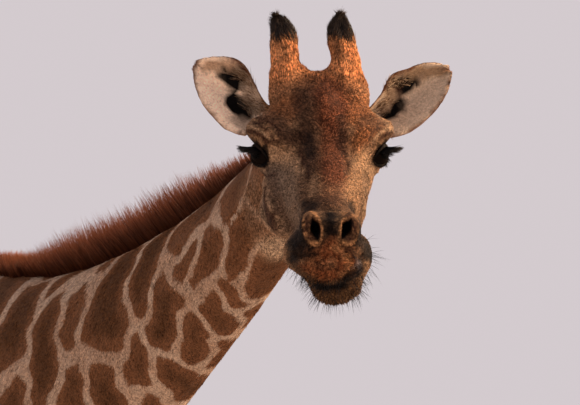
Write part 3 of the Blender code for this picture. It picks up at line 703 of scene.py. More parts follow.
def patch_edges(points):
    """Distance into the patch that a point lies in, in metres; below 0 it is on a pale line."""
    skin_along, skin_angle, _ = up_the_neck(points)

    def on_skin(along, angle):
        turn = (skin_angle - angle + 180) % 360 - 180
        return points[np.argmin(((skin_along - along) / 0.01) ** 2 + (turn / 3.0) ** 2)]

    known = [(reach, np.array([on_skin(*spot) for spot in line])) for reach, *line in NECK_PATCHES]
    patches = known + grown_patches(points, known)
    middles = np.array([np.mean(line, axis=0) for _, line in patches])
    owner = np.array([MERGED.get(i, i) for i in range(len(patches))])
    wobble = 0.007 * np.sin(points[:, [1, 2, 0]] * 47 + 3 * np.sin(points[:, [2, 0, 1]] * 31))
    wobble += 0.003 * np.sin(points[:, [2, 0, 1]] * 131 + 2 * np.sin(points * 97))
    bent = points + wobble * (0.35 + 0.65 * (patch_spacing(points) / 0.18))[:, None]
    inside = np.empty(len(points))
    for start in range(0, len(points), BLOCK):
        part = bent[start : start + BLOCK]
        away = np.linalg.norm(part[:, None] - middles[None], axis=2)
        table = np.full((len(part), len(patches)), FAR)
        for k in np.unique(np.argsort(away, axis=1)[:, :NEAREST_PATCHES]):
            table[:, k] = path_distance(part, patches[k][1])[0] - patches[k][0]
        nearest = np.argmin(table, axis=1)
        first = np.min(table, axis=1)
        others = np.where(owner[None] == owner[nearest][:, None], FAR, table)
        second = -CORNER_ROUND * np.log(np.exp(-(others - first[:, None]) / CORNER_ROUND).sum(1)) + first
        inside[start : start + BLOCK] = (second - first) / 2
    line_half = LINE_HALF + 0.003 * step(1.1, 0.6, skin_along) - 0.0015 * step(0.9, 0.4, points[:, 2])
    line_half = line_half - 0.0025 * step(1.15, 1.35, skin_along)
    return inside - line_half


# ---------------------------------------------------------------- markings: the tones of the face
def tone(red, green, blue):
    """A finish's colour, from the 0 to 255 scale of a paint card to light values."""
    return tuple((c / 255) ** 2.2 for c in (red, green, blue))


COAT_TONES = {
    "pale_line": tone(185, 157, 134),
    "patch": tone(90, 61, 41),
    "rust": tone(95, 56, 39),
    "orange": tone(146, 96, 64),
    "dull_orange": tone(122, 76, 48),
    "brow": tone(92, 68, 52),
    "horn_tan": tone(214, 142, 92),
    "umber": tone(66, 44, 34),
    "smoke": tone(40, 31, 28),
    "grey_tan": tone(116, 96, 80),
    "tan": tone(142, 108, 80),
    "warm_tan": tone(170, 134, 102),
    "cream": tone(170, 138, 110),
    "nose": tone(30, 23, 20),
    "rim": tone(174, 124, 84),
    # The tongue in the mouth's gap, its tone lightened to grey as a painted glint.
    "wet": tone(138, 128, 124),
    "lip": tone(100, 56, 34),
    "olive": tone(78, 56, 38),
    "black": tone(20, 18, 18),
    "throat": tone(186, 158, 130),
    "ear_skin": tone(252, 220, 190),
    "ear_grey": tone(150, 130, 112),
    # Her left ear's cup: a darker tone, as painted shade.
    "ear_shade": tone(190, 166, 142),
    "ear_brown": tone(132, 104, 76),
}
# Soft strokes over the face as seen from straight ahead, in millimetres: tone, how strong, how far forward
# each begins, half width, and a bent line of places across (to her left) and up, from between the eyes.
FACE_STROKES = (
    ("dull_orange", 0.85, -100, 25, (-93, 55), (-54, 84)),
    ("dull_orange", 0.85, -100, 25, (96, 55), (61, 84)),
    ("rust", 1.00, -100, 34, (14, 105), (23, 73)),
    ("rust", 0.95, 0, 25, (20, 73), (23, 5), (23, -34)),
    ("rust", 0.60, 60, 21, (23, -30), (21, -73)),
    ("umber", 0.80, -120, 16, (-34, 102), (-27, 62), (-20, 20), (-13, -23)),
    ("smoke", 0.85, 0, 11, (-23, 30), (-18, -2)),
    ("umber", 0.95, -20, 10, (37, 59), (39, 2)),
    # Dark under the brow above her right eye: painted shade.
    ("umber", 0.85, -80, 15, (-88, 28), (-62, 32), (-44, 24)),
    ("dull_orange", 0.90, -80, 17, (66, 66), (78, 36), (68, 18)),
    ("umber", 0.20, -120, 13, (-32, 123), (-4, 127)),
    ("brow", 0.75, -80, 14, (-125, 41), (-104, 55), (-71, 52)),
    ("brow", 0.60, -80, 13, (118, 37), (100, 55), (75, 55)),
    # Pale lines along the brow ridges, stronger on her left: painted highlight.
    ("cream", 0.35, -80, 5, (-134, 52), (-118, 64), (-98, 71)),
    ("cream", 0.55, -80, 5, (100, 73), (116, 59), (127, 41)),
    ("warm_tan", 0.90, -10, 14, (-82, -2), (-59, -13), (-43, -34)),
    ("warm_tan", 0.55, -10, 13, (82, 2), (86, -27)),
    # Dark in the creases beside the eyes' front corners: painted shade.
    ("umber", 0.85, 20, 5, (-37, 5), (-30, -18), (-20, -45)),
    ("umber", 0.75, 20, 4, (59, 9), (54, -16), (46, -37)),
    ("umber", 0.70, -40, 4, (-93, -30), (-71, -36), (-54, -34)),
    ("grey_tan", 0.85, 0, 27, (-68, -45), (-57, -93), (-43, -130)),
    ("umber", 0.55, 0, 11, (-82, -59), (-70, -105), (-50, -141)),
    ("umber", 0.55, 50, 9, (-30, -45), (-27, -84)),
    ("umber", 0.60, 270, 16, (-23, -96), (18, -89), (55, -96)),
    ("umber", 0.35, 220, 15, (-16, -91), (20, -87), (50, -91)),
    ("nose", 0.80, 240, 8, (-34, -88), (-12, -96)),
    ("nose", 0.80, 240, 7, (52, -92), (63, -106)),
    ("nose", 0.90, 280, 9, (-34, -96), (-34, -130), (-37, -155)),
    ("nose", 0.90, 290, 7, (66, -98), (72, -123)),
    ("nose", 1.00, 290, 13, (18, -112), (18, -140)),
    ("lip", 1.00, 330, 19, (-5, -180), (18, -168), (39, -178)),
    ("lip", 0.95, 330, 14, (-29, -204), (4, -214), (36, -207), (50, -191)),
    ("olive", 0.85, 300, 9, (-48, -188), (-36, -209), (-16, -222)),
    ("rim", 0.55, 330, 6, (21, -164), (36, -170), (45, -184), (50, -200), (38, -214)),
    ("umber", 0.70, 330, 5, (-9, -193), (14, -200), (30, -198)),
    ("nose", 0.95, 300, 12, (-39, -160), (-18, -166)),
    ("nose", 0.90, 300, 8, (-43, -180), (-12, -180)),
    ("nose", 0.95, 300, 15, (64, -150), (82, -162), (80, -180)),
    ("nose", 0.75, 320, 5, (45, -172), (62, -176)),
    ("nose", 0.75, 320, 4, (55, -188), (68, -186)),
    ("olive", 0.95, 270, 27, (-4, -252), (36, -254), (71, -238)),
    ("tan", 0.75, 270, 6, (78, -196), (82, -212), (78, -226)),
    # Black under the upper lip and in the gap where the lips part: painted shade.
    ("black", 1.00, 330, 7, (-4, -232), (18, -236), (40, -230)),
    ("black", 0.95, 330, 6, (40, -222), (58, -214), (70, -203)),
    ("umber", 0.75, -260, 5, (-66, 208), (-62.5, 184), (-66, 166)),
    ("umber", 0.70, -260, 7, (30, 203), (32, 168)),
)
# The same on the jaw and the eyes' corners, where the skin turns away.
JAW_STROKES = (
    # The first eight strokes stripe the folds above and behind each eye: painted light on their crests and
    # painted shade in the grooves between.
    ("umber", 0.85, -100, 3.2, (-138, 39), (-118, 37), (-104, 29), (-96, 18)),
    ("warm_tan", 0.90, -100, 3, (-138, 48), (-121, 46), (-104, 39), (-89, 25)),
    ("umber", 0.90, -100, 2.4, (-132, 54), (-111, 50), (-93, 38), (-82, 21)),
    ("tan", 0.85, -100, 3, (-125, 61), (-104, 55), (-86, 41), (-77, 25)),
    ("umber", 0.80, -100, 2.4, (-118, 66), (-98, 60), (-80, 47), (-71, 30)),
    ("umber", 0.80, -100, 3.2, (138, 36), (120, 34), (106, 24)),
    ("warm_tan", 0.85, -100, 2.8, (136, 45), (120, 44), (104, 34), (94, 18)),
    ("umber", 0.85, -100, 2.2, (132, 52), (114, 50), (96, 38), (86, 22)),
    ("umber", 0.95, -200, 5.5, (-100, -60), (-93, -89), (-82, -111), (-73, -134)),
    ("umber", 0.80, -200, 8, (-107, -140), (-98, -150)),
    ("cream", 0.95, -200, 2.8, (-104, -46), (-106, -80), (-105, -102), (-100, -123), (-87, -143)),
    ("cream", 0.85, -200, 2.6, (-95, -75), (-86, -98), (-75, -116), (-70, -137)),
    ("tan", 0.80, -200, 6, (-112, -70), (-114, -100)),
    ("grey_tan", 0.85, -240, 4.5, (-122, -40), (-127, -70), (-136, -95)),
    ("nose", 0.85, 270, 11, (-36, -150), (-48, -162), (-48, -184)),
    ("nose", 0.80, 270, 10, (68, -138), (86, -152), (92, -182)),
    ("black", 0.90, -50, 5, (-98, 10), (-95, -6), (-100, -22)),
    ("black", 0.80, -50, 4, (106, 12), (102, -4), (106, -18)),
    ("umber", 0.75, -50, 3.5, (-105, -36), (-94, -44), (-80, -38)),
)
# Strokes inside the ears: tone, how strong, half width and the line. The black strokes are painted shade in
# the hollows, the tan band is painted shade under her right ear's upper edge, and the widest stroke darkens
# all of her left ear's cup as painted shade.
EAR_STROKES = (
    # A tan band under her right ear's upper edge: painted shade.
    ("tan", 0.75, 8, (-205, 158), (-180, 160), (-152, 158), (-134, 150)),
    ("ear_grey", 0.85, 14, (-129, 132), (-124, 104), (-110, 88)),
    ("ear_grey", 0.75, 10, (-150, 62), (-128, 52)),
    # Black in her right ear's hollows: painted shade.
    ("black", 1.00, 8, (-178, 144), (-156, 144), (-138, 150)),
    ("black", 1.00, 10, (-164, 134), (-144, 134)),
    ("black", 1.00, 7, (-157, 120), (-148, 124)),
    ("black", 1.00, 10, (-161, 100), (-158, 88)),
    ("black", 0.95, 10, (-152, 94), (-136, 82)),
    ("black", 1.00, 7, (-156, 80), (-122, 68)),
    # All of her left ear's cup darker: painted shade.
    ("ear_shade", 1.00, 80, (105, 50), (200, 130)),
    ("ear_brown", 0.80, 8, (120, 148), (170, 148), (222, 148)),
    ("ear_brown", 0.70, 10, (120, 132), (132, 100), (112, 80)),
    # Black in her left ear's hollows: painted shade.
    ("black", 1.00, 8, (142, 128), (174, 130)),
    ("black", 1.00, 7, (144, 120), (156, 116)),
    ("umber", 0.80, 4, (140, 114), (142, 100)),
    ("black", 1.00, 7, (142, 94), (136, 76), (120, 68)),
    ("black", 0.90, 4, (146, 82), (156, 92)),
    ("umber", 0.80, 4, (180, 143), (186, 143)),
)
# Patches of tone off the face's front, in the head's frame: tone, how strong, middle, half sizes.
SIDE_TONES = (
    ("orange", 0.95, (-0.090, 0.000, 0.150), (0.090, 0.150, 0.085)),
    ("horn_tan", 0.95, (-0.095, -0.058, 0.155), (0.070, 0.040, 0.045)),
    ("horn_tan", 0.95, (-0.095, 0.050, 0.155), (0.070, 0.036, 0.045)),
    ("grey_tan", 0.85, (0.04, -0.085, -0.09), (0.16, 0.05, 0.08)),
    ("grey_tan", 0.45, (0.04, 0.085, -0.09), (0.16, 0.05, 0.08)),
    ("umber", 0.85, (-0.020, -0.084, -0.112), (0.020, 0.020, 0.044)),
    ("umber", 0.75, (-0.020, 0.084, -0.112), (0.020, 0.020, 0.044)),
)
BEHIND_JAW = ((-0.280, -0.108, -0.135), (0.090, 0.035, 0.060))
THROAT_SPOT = ((-0.300, -0.050, -0.222), (0.075, 0.060, 0.040))


def seen_from_ahead(head):
    """Across and up, as the face shows from a little above its own axis."""
    return np.stack((head[:, 1] + 0.045 * head[:, 0], 0.990 * head[:, 2] - 0.139 * head[:, 0]), 1)


def lay(colour, name, share):
    colour += (np.array(COAT_TONES[name]) - colour) * share[:, None]


def lay_strokes(colour, rows, head, facing):
    """Lays ragged strokes, only over what faces ahead and lies far enough forward."""
    front = seen_from_ahead(head)
    ragged = 0.0016 * np.sin(front[:, [1, 0]] * 310 + 2 * np.sin(head[:, :2] * 170))
    ragged += 0.0012 * np.sin(front[:, [1, 0]] * 870 + 2 * np.sin(head[:, [2, 0]] * 510))
    for name, strength, begins, width, *line in rows:
        begins, width = begins / 1000, width / 1000
        distance, _ = path_distance(front + ragged * min(1, width / 0.012), metres(line))
        ahead = step(begins - 0.02, begins + 0.02, head[:, 0])
        lay(colour, name, strength * facing * ahead * step(width * 1.5, width * 0.5, distance))


def paint_lip(colour, head):
    """Streaks that fan out over the upper lip."""
    front = seen_from_ahead(head)
    spray = np.arctan2(front[:, 1] + 0.145, front[:, 0] - 0.018) + 0.05 * np.sin(front[:, 1] * 500)
    streaks = step(0.1, 0.9, np.sin(spray * 37 + 2 * np.sin(spray * 13)))
    lay(colour, "orange", 0.60 * streaks * stroke(head, (0.395, 0.006, -0.136), (0.045, 0.046, 0.028)))


def paint_folds(colour, head):
    """Painted shade in the grooves and painted light on the ridges."""
    for height, width, line in both_folds():
        distance, _ = path_distance(head, line)
        name = "umber" if height < 0 else "warm_tan"
        lay(colour, name, min(1.0, abs(height) * 450) * bell(distance, width * 1.3) * 0.75)


def paint_nostril(colour, head, side):
    measure = nostril_measure(head, side)
    own = step(0.325, 0.345, head[:, 0]) * (head[:, 1] * side > 0)
    wing = wing_measure(head, side)
    lay(colour, "nose", step(1.45, 1.20, wing) * 0.75 * own)
    lay(colour, "rim", 0.9 * bell(wing - 1.02, 0.065) * own)
    # Painted shade in the dish round the slit.
    lay(colour, "umber", step(0.94, 0.84, wing) * own)
    lay(colour, "rim", bell(measure - 1.30, 0.20) * 0.45 * own)
    # Black in the slit: painted shade inside the nostril.
    lay(colour, "black", step(1.15, 0.90, measure) * own)


def paint_lids(colour, head, side):
    """Black rims round the eye, wider above it."""
    inside, height, reach = lid_opening(head, side)
    brim = 0.0066 + 0.0044 * step(-5, 15, height)
    lay(colour, "black", 0.95 * step(-brim, -brim * 0.6, inside) * step(0.045, 0.030, reach))


def paint_mouth(colour, head):
    seam_distance, _ = path_distance(head, MOUTH)
    wet, _ = path_distance(head, WET_GAP)
    # Painted shade between the lips: black along their line and dark in the gap where they part.
    lay(colour, "black", 0.9 * bell(seam_distance, 0.0030))
    lay(colour, "smoke", 0.9 * bell(wet, 0.0085))
    # The tongue in that gap, in a grey lightened as a painted glint.
    lay(colour, "wet", 0.9 * stroke(head, (0.388, 0.047, -0.144), (0.012, 0.006, 0.008)))


def face_paint(head, normals):
    """Colour of the face's coat and how far it covers the patches."""
    x, y, z = head.T
    colour = np.tile(np.array(COAT_TONES["tan"]), (len(head), 1))
    for name, strength, middle, sizes in SIDE_TONES:
        lay(colour, name, strength * stroke(head, middle, sizes))
    turned = normals @ HEAD_AXES[:, 0]
    lay_strokes(colour, FACE_STROKES, head, step(-0.20, 0.10, turned))
    paint_lip(colour, head)
    paint_folds(colour, head)
    lay_strokes(colour, JAW_STROKES, head, step(-0.65, -0.35, turned))
    for side in SIDES.values():
        paint_nostril(colour, head, side)
        paint_lids(colour, head, side)
    paint_mouth(colour, head)
    horn_edge = 0.005 * np.sin(y * 420) + 0.004 * np.sin(y * 1100 + 2)
    lay(colour, "black", step(0.180, 0.196, z + horn_edge) * (x < -0.07))
    throat = 0.9 * stroke(head, *THROAT_SPOT)
    behind_jaw = 0.6 * stroke(head, *BEHIND_JAW)
    lay(colour, "grey_tan", behind_jaw)
    lay(colour, "throat", throat)
    cover = step(-0.235, -0.165, x) * step(-0.30, -0.20, x * 0.6 + z)
    cover = np.maximum(cover, step(0.085, 0.11, z) * step(-0.30, -0.26, x))
    return colour, np.maximum(cover, np.maximum(throat, behind_jaw))


EAR_BANDS = 15  # slices across an ear, each with its own upper and lower edge


def ear_margin(u, above, member, side_name):
    """How far each place on an ear is from the ear's outline."""
    length = ear_axes(side_name)[1]
    on_ear = member > 0.5
    bands = np.linspace(0, np.max(u[on_ear]), EAR_BANDS + 1)
    middles = (bands[1:] + bands[:-1]) / 2
    inside = [above[on_ear & (u >= low) & (u < high)] for low, high in zip(bands[:-1], bands[1:])]
    low, high = (np.interp(u, middles, [pick(band) for band in inside]) for pick in (np.min, np.max))
    return np.minimum(np.minimum(above - low, high - above), (bands[-1] - u) * length)


def ear_paint(colour, cover, head, normals):
    """Pale inside the cup, with black in its hairy hollows as painted shade, more painted shade under the
    upper edge and over her left ear's whole cup; brown on the back and a thin dark rim.
    """
    front = seen_from_ahead(head)
    ragged = 0.0012 * np.sin(front[:, [1, 0]] * 700 + 2 * np.sin(front * 410))
    for side_name, side in SIDES.items():
        u, above, inner, member = ear_places(head, normals, side_name)
        cover[:] = np.maximum(cover, member)
        lay(colour, "ear_brown", member * (1 - inner))
        lay(colour, "ear_skin", member * inner)
        for name, strength, width, *line in EAR_STROKES:
            if line[0][0] * side > 0:
                width = width / 1000
                distance, _ = path_distance(front + ragged, metres(line))
                lay(colour, name, strength * member * inner * step(width * 1.45, width * 0.95, distance))
        lay(colour, "rust", 0.9 * member * step(0.0050, 0.0025, ear_margin(u, above, member, side_name)))


# ---------------------------------------------------------------- materials
class Wire:
    """A number's socket; arithmetic on it adds Math nodes."""

    def __init__(self, tree, socket):
        self.tree = tree
        self.socket = socket

    def math(self, operation, *others):
        return self.tree.add("ShaderNodeMath", {"operation": operation}, dict(enumerate((self, *others))))

    def __add__(self, other):
        return self.math("ADD", other)

    def __mul__(self, other):
        return self.math("MULTIPLY", other)

    def __sub__(self, other):
        return self.math("SUBTRACT", other)

    def __rsub__(self, other):
        return self.tree.add("ShaderNodeMath", {"operation": "SUBTRACT"}, {0: other, 1: self})

    __radd__ = __add__
    __rmul__ = __mul__

    def over(self, low, high):
        """0 below low, 1 above high, smooth between."""
        values = {"Value": self, "From Min": low, "From Max": high}
        return self.tree.add("ShaderNodeMapRange", {"interpolation_type": "SMOOTHSTEP"}, values)


class Nodes:
    """A node tree that is filled by one method."""

    def __init__(self, tree):
        self.tree = tree

    def add(self, kind, settings=None, values=None, output=0):
        node = self.tree.nodes.new(kind)
        for key, value in (settings or {}).items():
            setattr(node, key, value)
        for key, value in (values or {}).items():
            if isinstance(value, Wire):
                self.tree.links.new(value.socket, node.inputs[key])
            else:
                node.inputs[key].default_value = value
        return Wire(self, node.outputs[output])

    def noise(self, place, scale, detail=2.0, roughness=0.5, output=0):
        values = {"Vector": place, "Scale": scale, "Detail": detail, "Roughness": roughness}
        return self.add("ShaderNodeTexNoise", None, values, output)

    def vector(self, operation, *values):
        values = dict(enumerate(values))
        if operation == "SCALE":
            values["Scale"] = values.pop(1)
        return self.add("ShaderNodeVectorMath", {"operation": operation}, values)

    def part_of(self, place, axis):
        return self.add("ShaderNodeSeparateXYZ", None, {0: place}, axis)


class Finish(Nodes):
    """A material under a plain name, with its shader ready."""

    def __init__(self, name, **constants):
        self.material = bpy.data.materials.new(name)
        self.material.use_nodes = True
        super().__init__(self.material.node_tree)
        self.shader = self.tree.nodes["Principled BSDF"]
        for key, value in constants.items():
            self.shader.inputs[key.replace("_", " ")].default_value = value

    def feed(self, key, wire):
        self.tree.links.new(wire.socket, self.shader.inputs[key])

    def place(self):
        return self.add("ShaderNodeTexCoord", output="Object")

    def number(self, name):
        return self.add("ShaderNodeAttribute", {"attribute_name": name}, output="Fac")

    def colour(self, name):
        return self.add("ShaderNodeAttribute", {"attribute_name": name}, output="Color")

    def mix(self, share, first, second):
        ends = [c if isinstance(c, Wire) else (*c, 1.0) for c in (first, second)]
        values = {0: share, 6: ends[0], 7: ends[1]}
        return self.add("ShaderNodeMix", {"data_type": "RGBA"}, values, output=2)

    def bump(self, height, strength, distance):
        values = {"Height": height, "Strength": strength, "Distance": distance}
        return self.add("ShaderNodeBump", None, values, output="Normal")


def coat_finish(name, tufts):
    """The coat: brown patches on paler ground, the painted face and the grain of short hair, with painted
    shade deep in the coat and painted light on the ear cups.
    """
    coat = Finish(name, Roughness=0.75, Specular_IOR_Level=0.05)
    place = coat.place()
    fine = coat.noise(place, 620.0, 3.0, 0.65)
    mottle = coat.noise(place, 95.0, 4.0, 0.6)
    broad = coat.noise(place, 14.0, 2.0, 0.5)
    clump = coat.noise(place, 250.0, 2.0, 0.6)
    edge = coat.number("patch") + (mottle - 0.5) * 0.013 + (fine - 0.5) * 0.006
    core = edge.over(0.006, 0.034)
    patch = coat.mix(core, tone(118, 80, 56), COAT_TONES["patch"])
    ground = coat.mix(broad.over(0.35, 0.65), tone(176, 144, 120), COAT_TONES["pale_line"])
    hide = coat.mix(edge.over(-0.0028, 0.0028), ground, patch)
    painted = coat.mix(coat.number("painted"), hide, coat.colour("paint"))
    uneven = (fine - 0.5) * 0.9 + (mottle - 0.5) * 1.9 + (clump - 0.5) * 4.0
    if tufts:
        uneven = uneven + (coat.number("shade") - 0.5) * 2.3
    # smooth marks the ear cups: their grain is calmer, and below they are painted lighter, as painted light.
    smooth = coat.number("smooth")
    uneven = uneven * (coat.number("painted") * 0.45 + 0.55)
    grain = uneven * (1.0 - smooth * 0.70) + 1.0
    # Painted shade deep in the coat: each tuft darkens towards its root, and the bare skin between the tufts
    # is darker; on the ear cups both are lifted as painted light.
    if tufts:
        grain = grain * (coat.number("along") * (0.65 - smooth * 0.40) + 0.70 + smooth * 0.40)
    else:
        grain = grain * (0.78 + smooth * 0.30)
    coat.feed("Base Color", coat.vector("SCALE", painted, grain.math("MAXIMUM", 0.34)))
    if not tufts:
        coat.feed("Normal", coat.bump(fine * 0.7 + mottle * 0.6, 0.55, 0.0030))
    return coat.material


def hair_finish(name, root, tip):
    """Long hair: darker at the root, lighter to the tip, and no two locks alike."""
    hair = Finish(name, Roughness=0.45, Specular_IOR_Level=0.12)
    along = hair.number("along")
    base = hair.mix(along.over(0.25, 1.0), root, tip)
    hair.feed("Base Color", hair.vector("SCALE", base, hair.number("shade") * 0.8 + 0.6))
    return hair.material


def eye_finish():
    eye = Finish("wet_eye", Roughness=0.30, Coat_Weight=0.05, Coat_Roughness=0.03, Specular_IOR_Level=0.0)
    pupil = eye.number("pupil")
    iris = eye.mix(eye.noise(eye.place(), 240.0), tone(13, 10, 9), tone(26, 18, 14))
    eye.feed("Base Color", eye.mix(pupil, iris, tone(6, 6, 7)))
    return eye.material


def hoof_finish():
    """Dark horn with growth rings across it and pale scuffs at the sole."""
    horn = Finish("hoof_horn", Roughness=0.55, Specular_IOR_Level=0.4)
    place = horn.place()
    height = horn.part_of(place, 2)
    ripple = horn.noise(place, 30.0, 3.0)
    rings = (height * 620.0 + ripple * 5.0).math("SINE") * 0.5 + 0.5
    scuff = (0.030 - height + (ripple - 0.5) * 0.03).over(0.0, 0.02)
    base = horn.mix(ripple.over(0.35, 0.7), tone(52, 44, 38), tone(84, 72, 60))
    horn.feed("Base Color", horn.mix(scuff * 0.6, base, tone(128, 112, 94)))
    horn.feed("Roughness", ripple * 0.3 + 0.42)
    horn.feed("Normal", horn.bump(rings * 0.4 + ripple, 0.5, 0.0016))
    return horn.material


# ---------------------------------------------------------------- the lie of the coat
HORN_TIPS = ((-0.185, -0.0745, 0.250), (-0.180, 0.0445, 0.250))  # where the hair of each horn's tip meets


def head_lie(head, normals):
    """Back over the head, up the horns to their tips and out along the ears."""
    x, y, z = head.T
    back = np.stack((np.full(len(head), -1.0), np.sign(y) * 0.25, -0.15 - 0.3 * step(0, -0.1, z)), 1)
    up_horn = step(0.09, 0.13, z)[:, None]
    back = back * (1 - up_horn) + np.array((-0.55, 0, 0.8)) * up_horn
    for apex in HORN_TIPS:
        on_horn = (step(0.13, 0.17, z) * (y * apex[1] > 0) * (x < -0.06))[:, None]
        back = back * (1 - on_horn) + unit(np.array(apex) - head) * on_horn
    lie = back @ HEAD_AXES.T
    for side_name, (root, tip) in EAR_ROOTS.items():
        member = ear_places(head, normals, side_name)[3][:, None]
        out = unit(np.array(tip) - np.array(root)) @ HEAD_AXES.T
        lie = lie * (1 - member) + out * member
    return unit(lie)


def fur_lie(points, normals, head):
    """The way the hair points: back over the head, down the neck and legs, out along ears and horns."""
    along, angle, _ = up_the_neck(points)
    i = np.clip((along / NECK_LENGTH * (len(NECK) - 1)).astype(int), 0, len(NECK) - 2)
    tailward = -NECK_WAY[i]
    round_down = np.cross(tailward, points - NECK[i]) * np.sign(angle)[:, None] * -1
    on_neck = tailward + 0.45 * unit(round_down) + np.array((0, 0, -0.25))
    down = step(1.55, 1.15, points[:, 2])[:, None]
    on_body = np.array((-0.8, 0, -0.6)) * (1 - down) + np.array((-0.1, 0, -1.0)) * down
    on_tail = points[:, 0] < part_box("trunk")[0].x + 0.02
    on_body = np.where(on_tail[:, None], np.array((0.04, 0, -1.0)), on_body)
    headward = step(-0.26, -0.16, head[:, 0])[:, None] * (along > 1.3)[:, None]
    neckward = step(0.0, 0.25, along)[:, None]
    lie = on_body * (1 - neckward) + on_neck * neckward
    lie = unit(lie) * (1 - headward) + head_lie(head, normals) * headward
    hangs = on_tail & (points[:, 2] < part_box("tail")[0].z + 0.20) & (along < 0.25)
    flat = np.where(hangs, 0.0, (lie * normals).sum(1))
    return unit(lie - normals * flat[:, None])


class Tree(Nodes):
    """A Geometry Nodes group with named inputs, each of which has a plain default."""

    def __init__(self, name):
        self.group = bpy.data.node_groups.new(name, "GeometryNodeTree")
        super().__init__(self.group)
        self.group.interface.new_socket("Geometry", in_out="OUTPUT", socket_type="NodeSocketGeometry")
        self.group.interface.new_socket("Geometry", in_out="INPUT", socket_type="NodeSocketGeometry")

    def inputs(self, **kinds):
        for label, kind in kinds.items():
            self.group.interface.new_socket(label, in_out="INPUT", socket_type="NodeSocket" + kind)
        given = self.tree.nodes.new("NodeGroupInput")
        return {socket.name: Wire(self, socket) for socket in given.outputs if socket.name}

    def named(self, name, kind="FLOAT"):
        return self.add("GeometryNodeInputNamedAttribute", {"data_type": kind}, {"Name": name})

    def random(self, kind, low, high, seed, number):
        keys = {"FLOAT_VECTOR": (0, 1, 0), "FLOAT": (2, 3, 1)}[kind]
        values = {keys[0]: low, keys[1]: high, "Seed": seed + number}
        return self.add("FunctionNodeRandomValue", {"data_type": kind}, values, keys[2])

    def keep(self, geometry, name, value, kind="FLOAT", domain="POINT"):
        settings = {"data_type": kind, "domain": domain}
        values = {"Geometry": geometry, "Name": name, "Value": value}
        return self.add("GeometryNodeStoreNamedAttribute", settings, values)

    def moved(self, geometry, offset):
        return self.add("GeometryNodeSetPosition", None, {"Geometry": geometry, "Offset": offset})

    def joined(self, x, y=0.0, z=0.0):
        return self.add("ShaderNodeCombineXYZ", None, {0: x, 1: y, 2: z})


def tuft_turn(tree, given, place, normal):
    """Each tuft's own way out of the skin: along its lie, swirled, lifted and led a little astray."""
    swirl = tree.noise(place, 34.0, output="Color")
    swirl = tree.vector("SCALE", tree.vector("SUBTRACT", swirl, (0.5, 0.5, 0.5)), given["Wave"] * 2.0)
    astray = tree.random("FLOAT_VECTOR", (-1, -1, -1), (1, 1, 1), given["Seed"], 2)
    lie = tree.vector("ADD", tree.named("lie", "FLOAT_VECTOR"), swirl)
    way = tree.vector("ADD", lie, tree.vector("SCALE", normal, given["Lift"]))
    way = tree.vector("ADD", way, tree.vector("SCALE", astray, given["Spread"]))
    settings = {"primary_axis": "Z", "secondary_axis": "X"}
    values = {"Primary Axis": way, "Secondary Axis": normal}
    return tree.add("FunctionNodeAxesToRotation", settings, values)


def tuft_cone(tree, given):
    """One bent tuft, a metre long, which knows how far along it and across it each vertex lies."""
    values = {"Vertices": 3, "Side Segments": given["Segments"]}
    values.update({"Radius Top": 0.0, "Radius Bottom": 1.0, "Depth": 1.0})
    cone = tree.add("GeometryNodeMeshCone", {"fill_type": "NGON"}, values)
    spot = tree.add("GeometryNodeInputPosition")
    up = tree.part_of(spot, 2)
    cone = tree.keep(cone, "along", up)
    cone = tree.keep(cone, "across", tree.part_of(spot, 1))
    return tree.moved(cone, tree.joined(up * up * given["Bend"]))


def tuft_tree():
    """Sets tapering, bent tufts over a skin where the named mask says, laid over along its lie."""
    tree = Tree("tufts")
    given = tree.inputs(
        Mask="String", Density="Float", Length="Float", Width="Float", Segments="Int", Lift="Float",
        Spread="Float", Wave="Float", Bend="Float", Seed="Int", Finish="Material",
    )
    seed = given["Seed"]
    density = tree.named(given["Mask"]) * given["Density"]
    scatter = {"Mesh": given["Geometry"], "Density": density, "Seed": seed}
    points = tree.add("GeometryNodeDistributePointsOnFaces", {"distribute_method": "RANDOM"}, scatter)
    normal = Wire(tree, points.socket.node.outputs["Normal"])
    place = tree.add("GeometryNodeInputPosition")
    points = tree.keep(points, "root_place", tree.named("OFBake", "FLOAT_VECTOR"), "FLOAT_VECTOR")
    shade = tree.random("FLOAT", 0.0, 0.5, seed, 1) + tree.noise(place, 270.0) * 2.4 - 0.95
    points = tree.keep(points, "shade", shade)
    long = tree.named("hair_length") * given["Length"] * tree.random("FLOAT", 0.65, 1.15, seed, 3)
    long = long * (tree.noise(place, 150.0, 1.0) * 0.6 + 0.70)
    wide = given["Width"] * tree.random("FLOAT", 0.7, 1.2, seed, 4)
    points = tree.moved(points, tree.vector("SCALE", normal, wide * -0.22))
    cone, turn = tuft_cone(tree, given), tuft_turn(tree, given, place, normal)
    size = tree.joined(wide * 0.6, wide, long)
    values = {"Points": points, "Instance": cone, "Rotation": turn, "Scale": size}
    placed = tree.add("GeometryNodeInstanceOnPoints", None, values)
    solid = tree.add("GeometryNodeRealizeInstances", None, {0: placed})
    spread = tree.joined(tree.named("along") * 0.003, tree.named("across") * 0.0015)
    patch = tree.vector("ADD", tree.named("root_place", "FLOAT_VECTOR"), spread)
    solid = tree.keep(solid, "OFBake", patch, "FLOAT2", "CORNER")
    for name in ("root_place", "across"):
        solid = tree.add("GeometryNodeRemoveAttribute", None, {"Geometry": solid, "Name": name})
    solid = tree.add("GeometryNodeSetMaterial", None, {"Geometry": solid, "Material": given["Finish"]})
    out = tree.tree.nodes.new("NodeGroupOutput")
    tree.tree.links.new(solid.socket, out.inputs[0])
    return tree.group


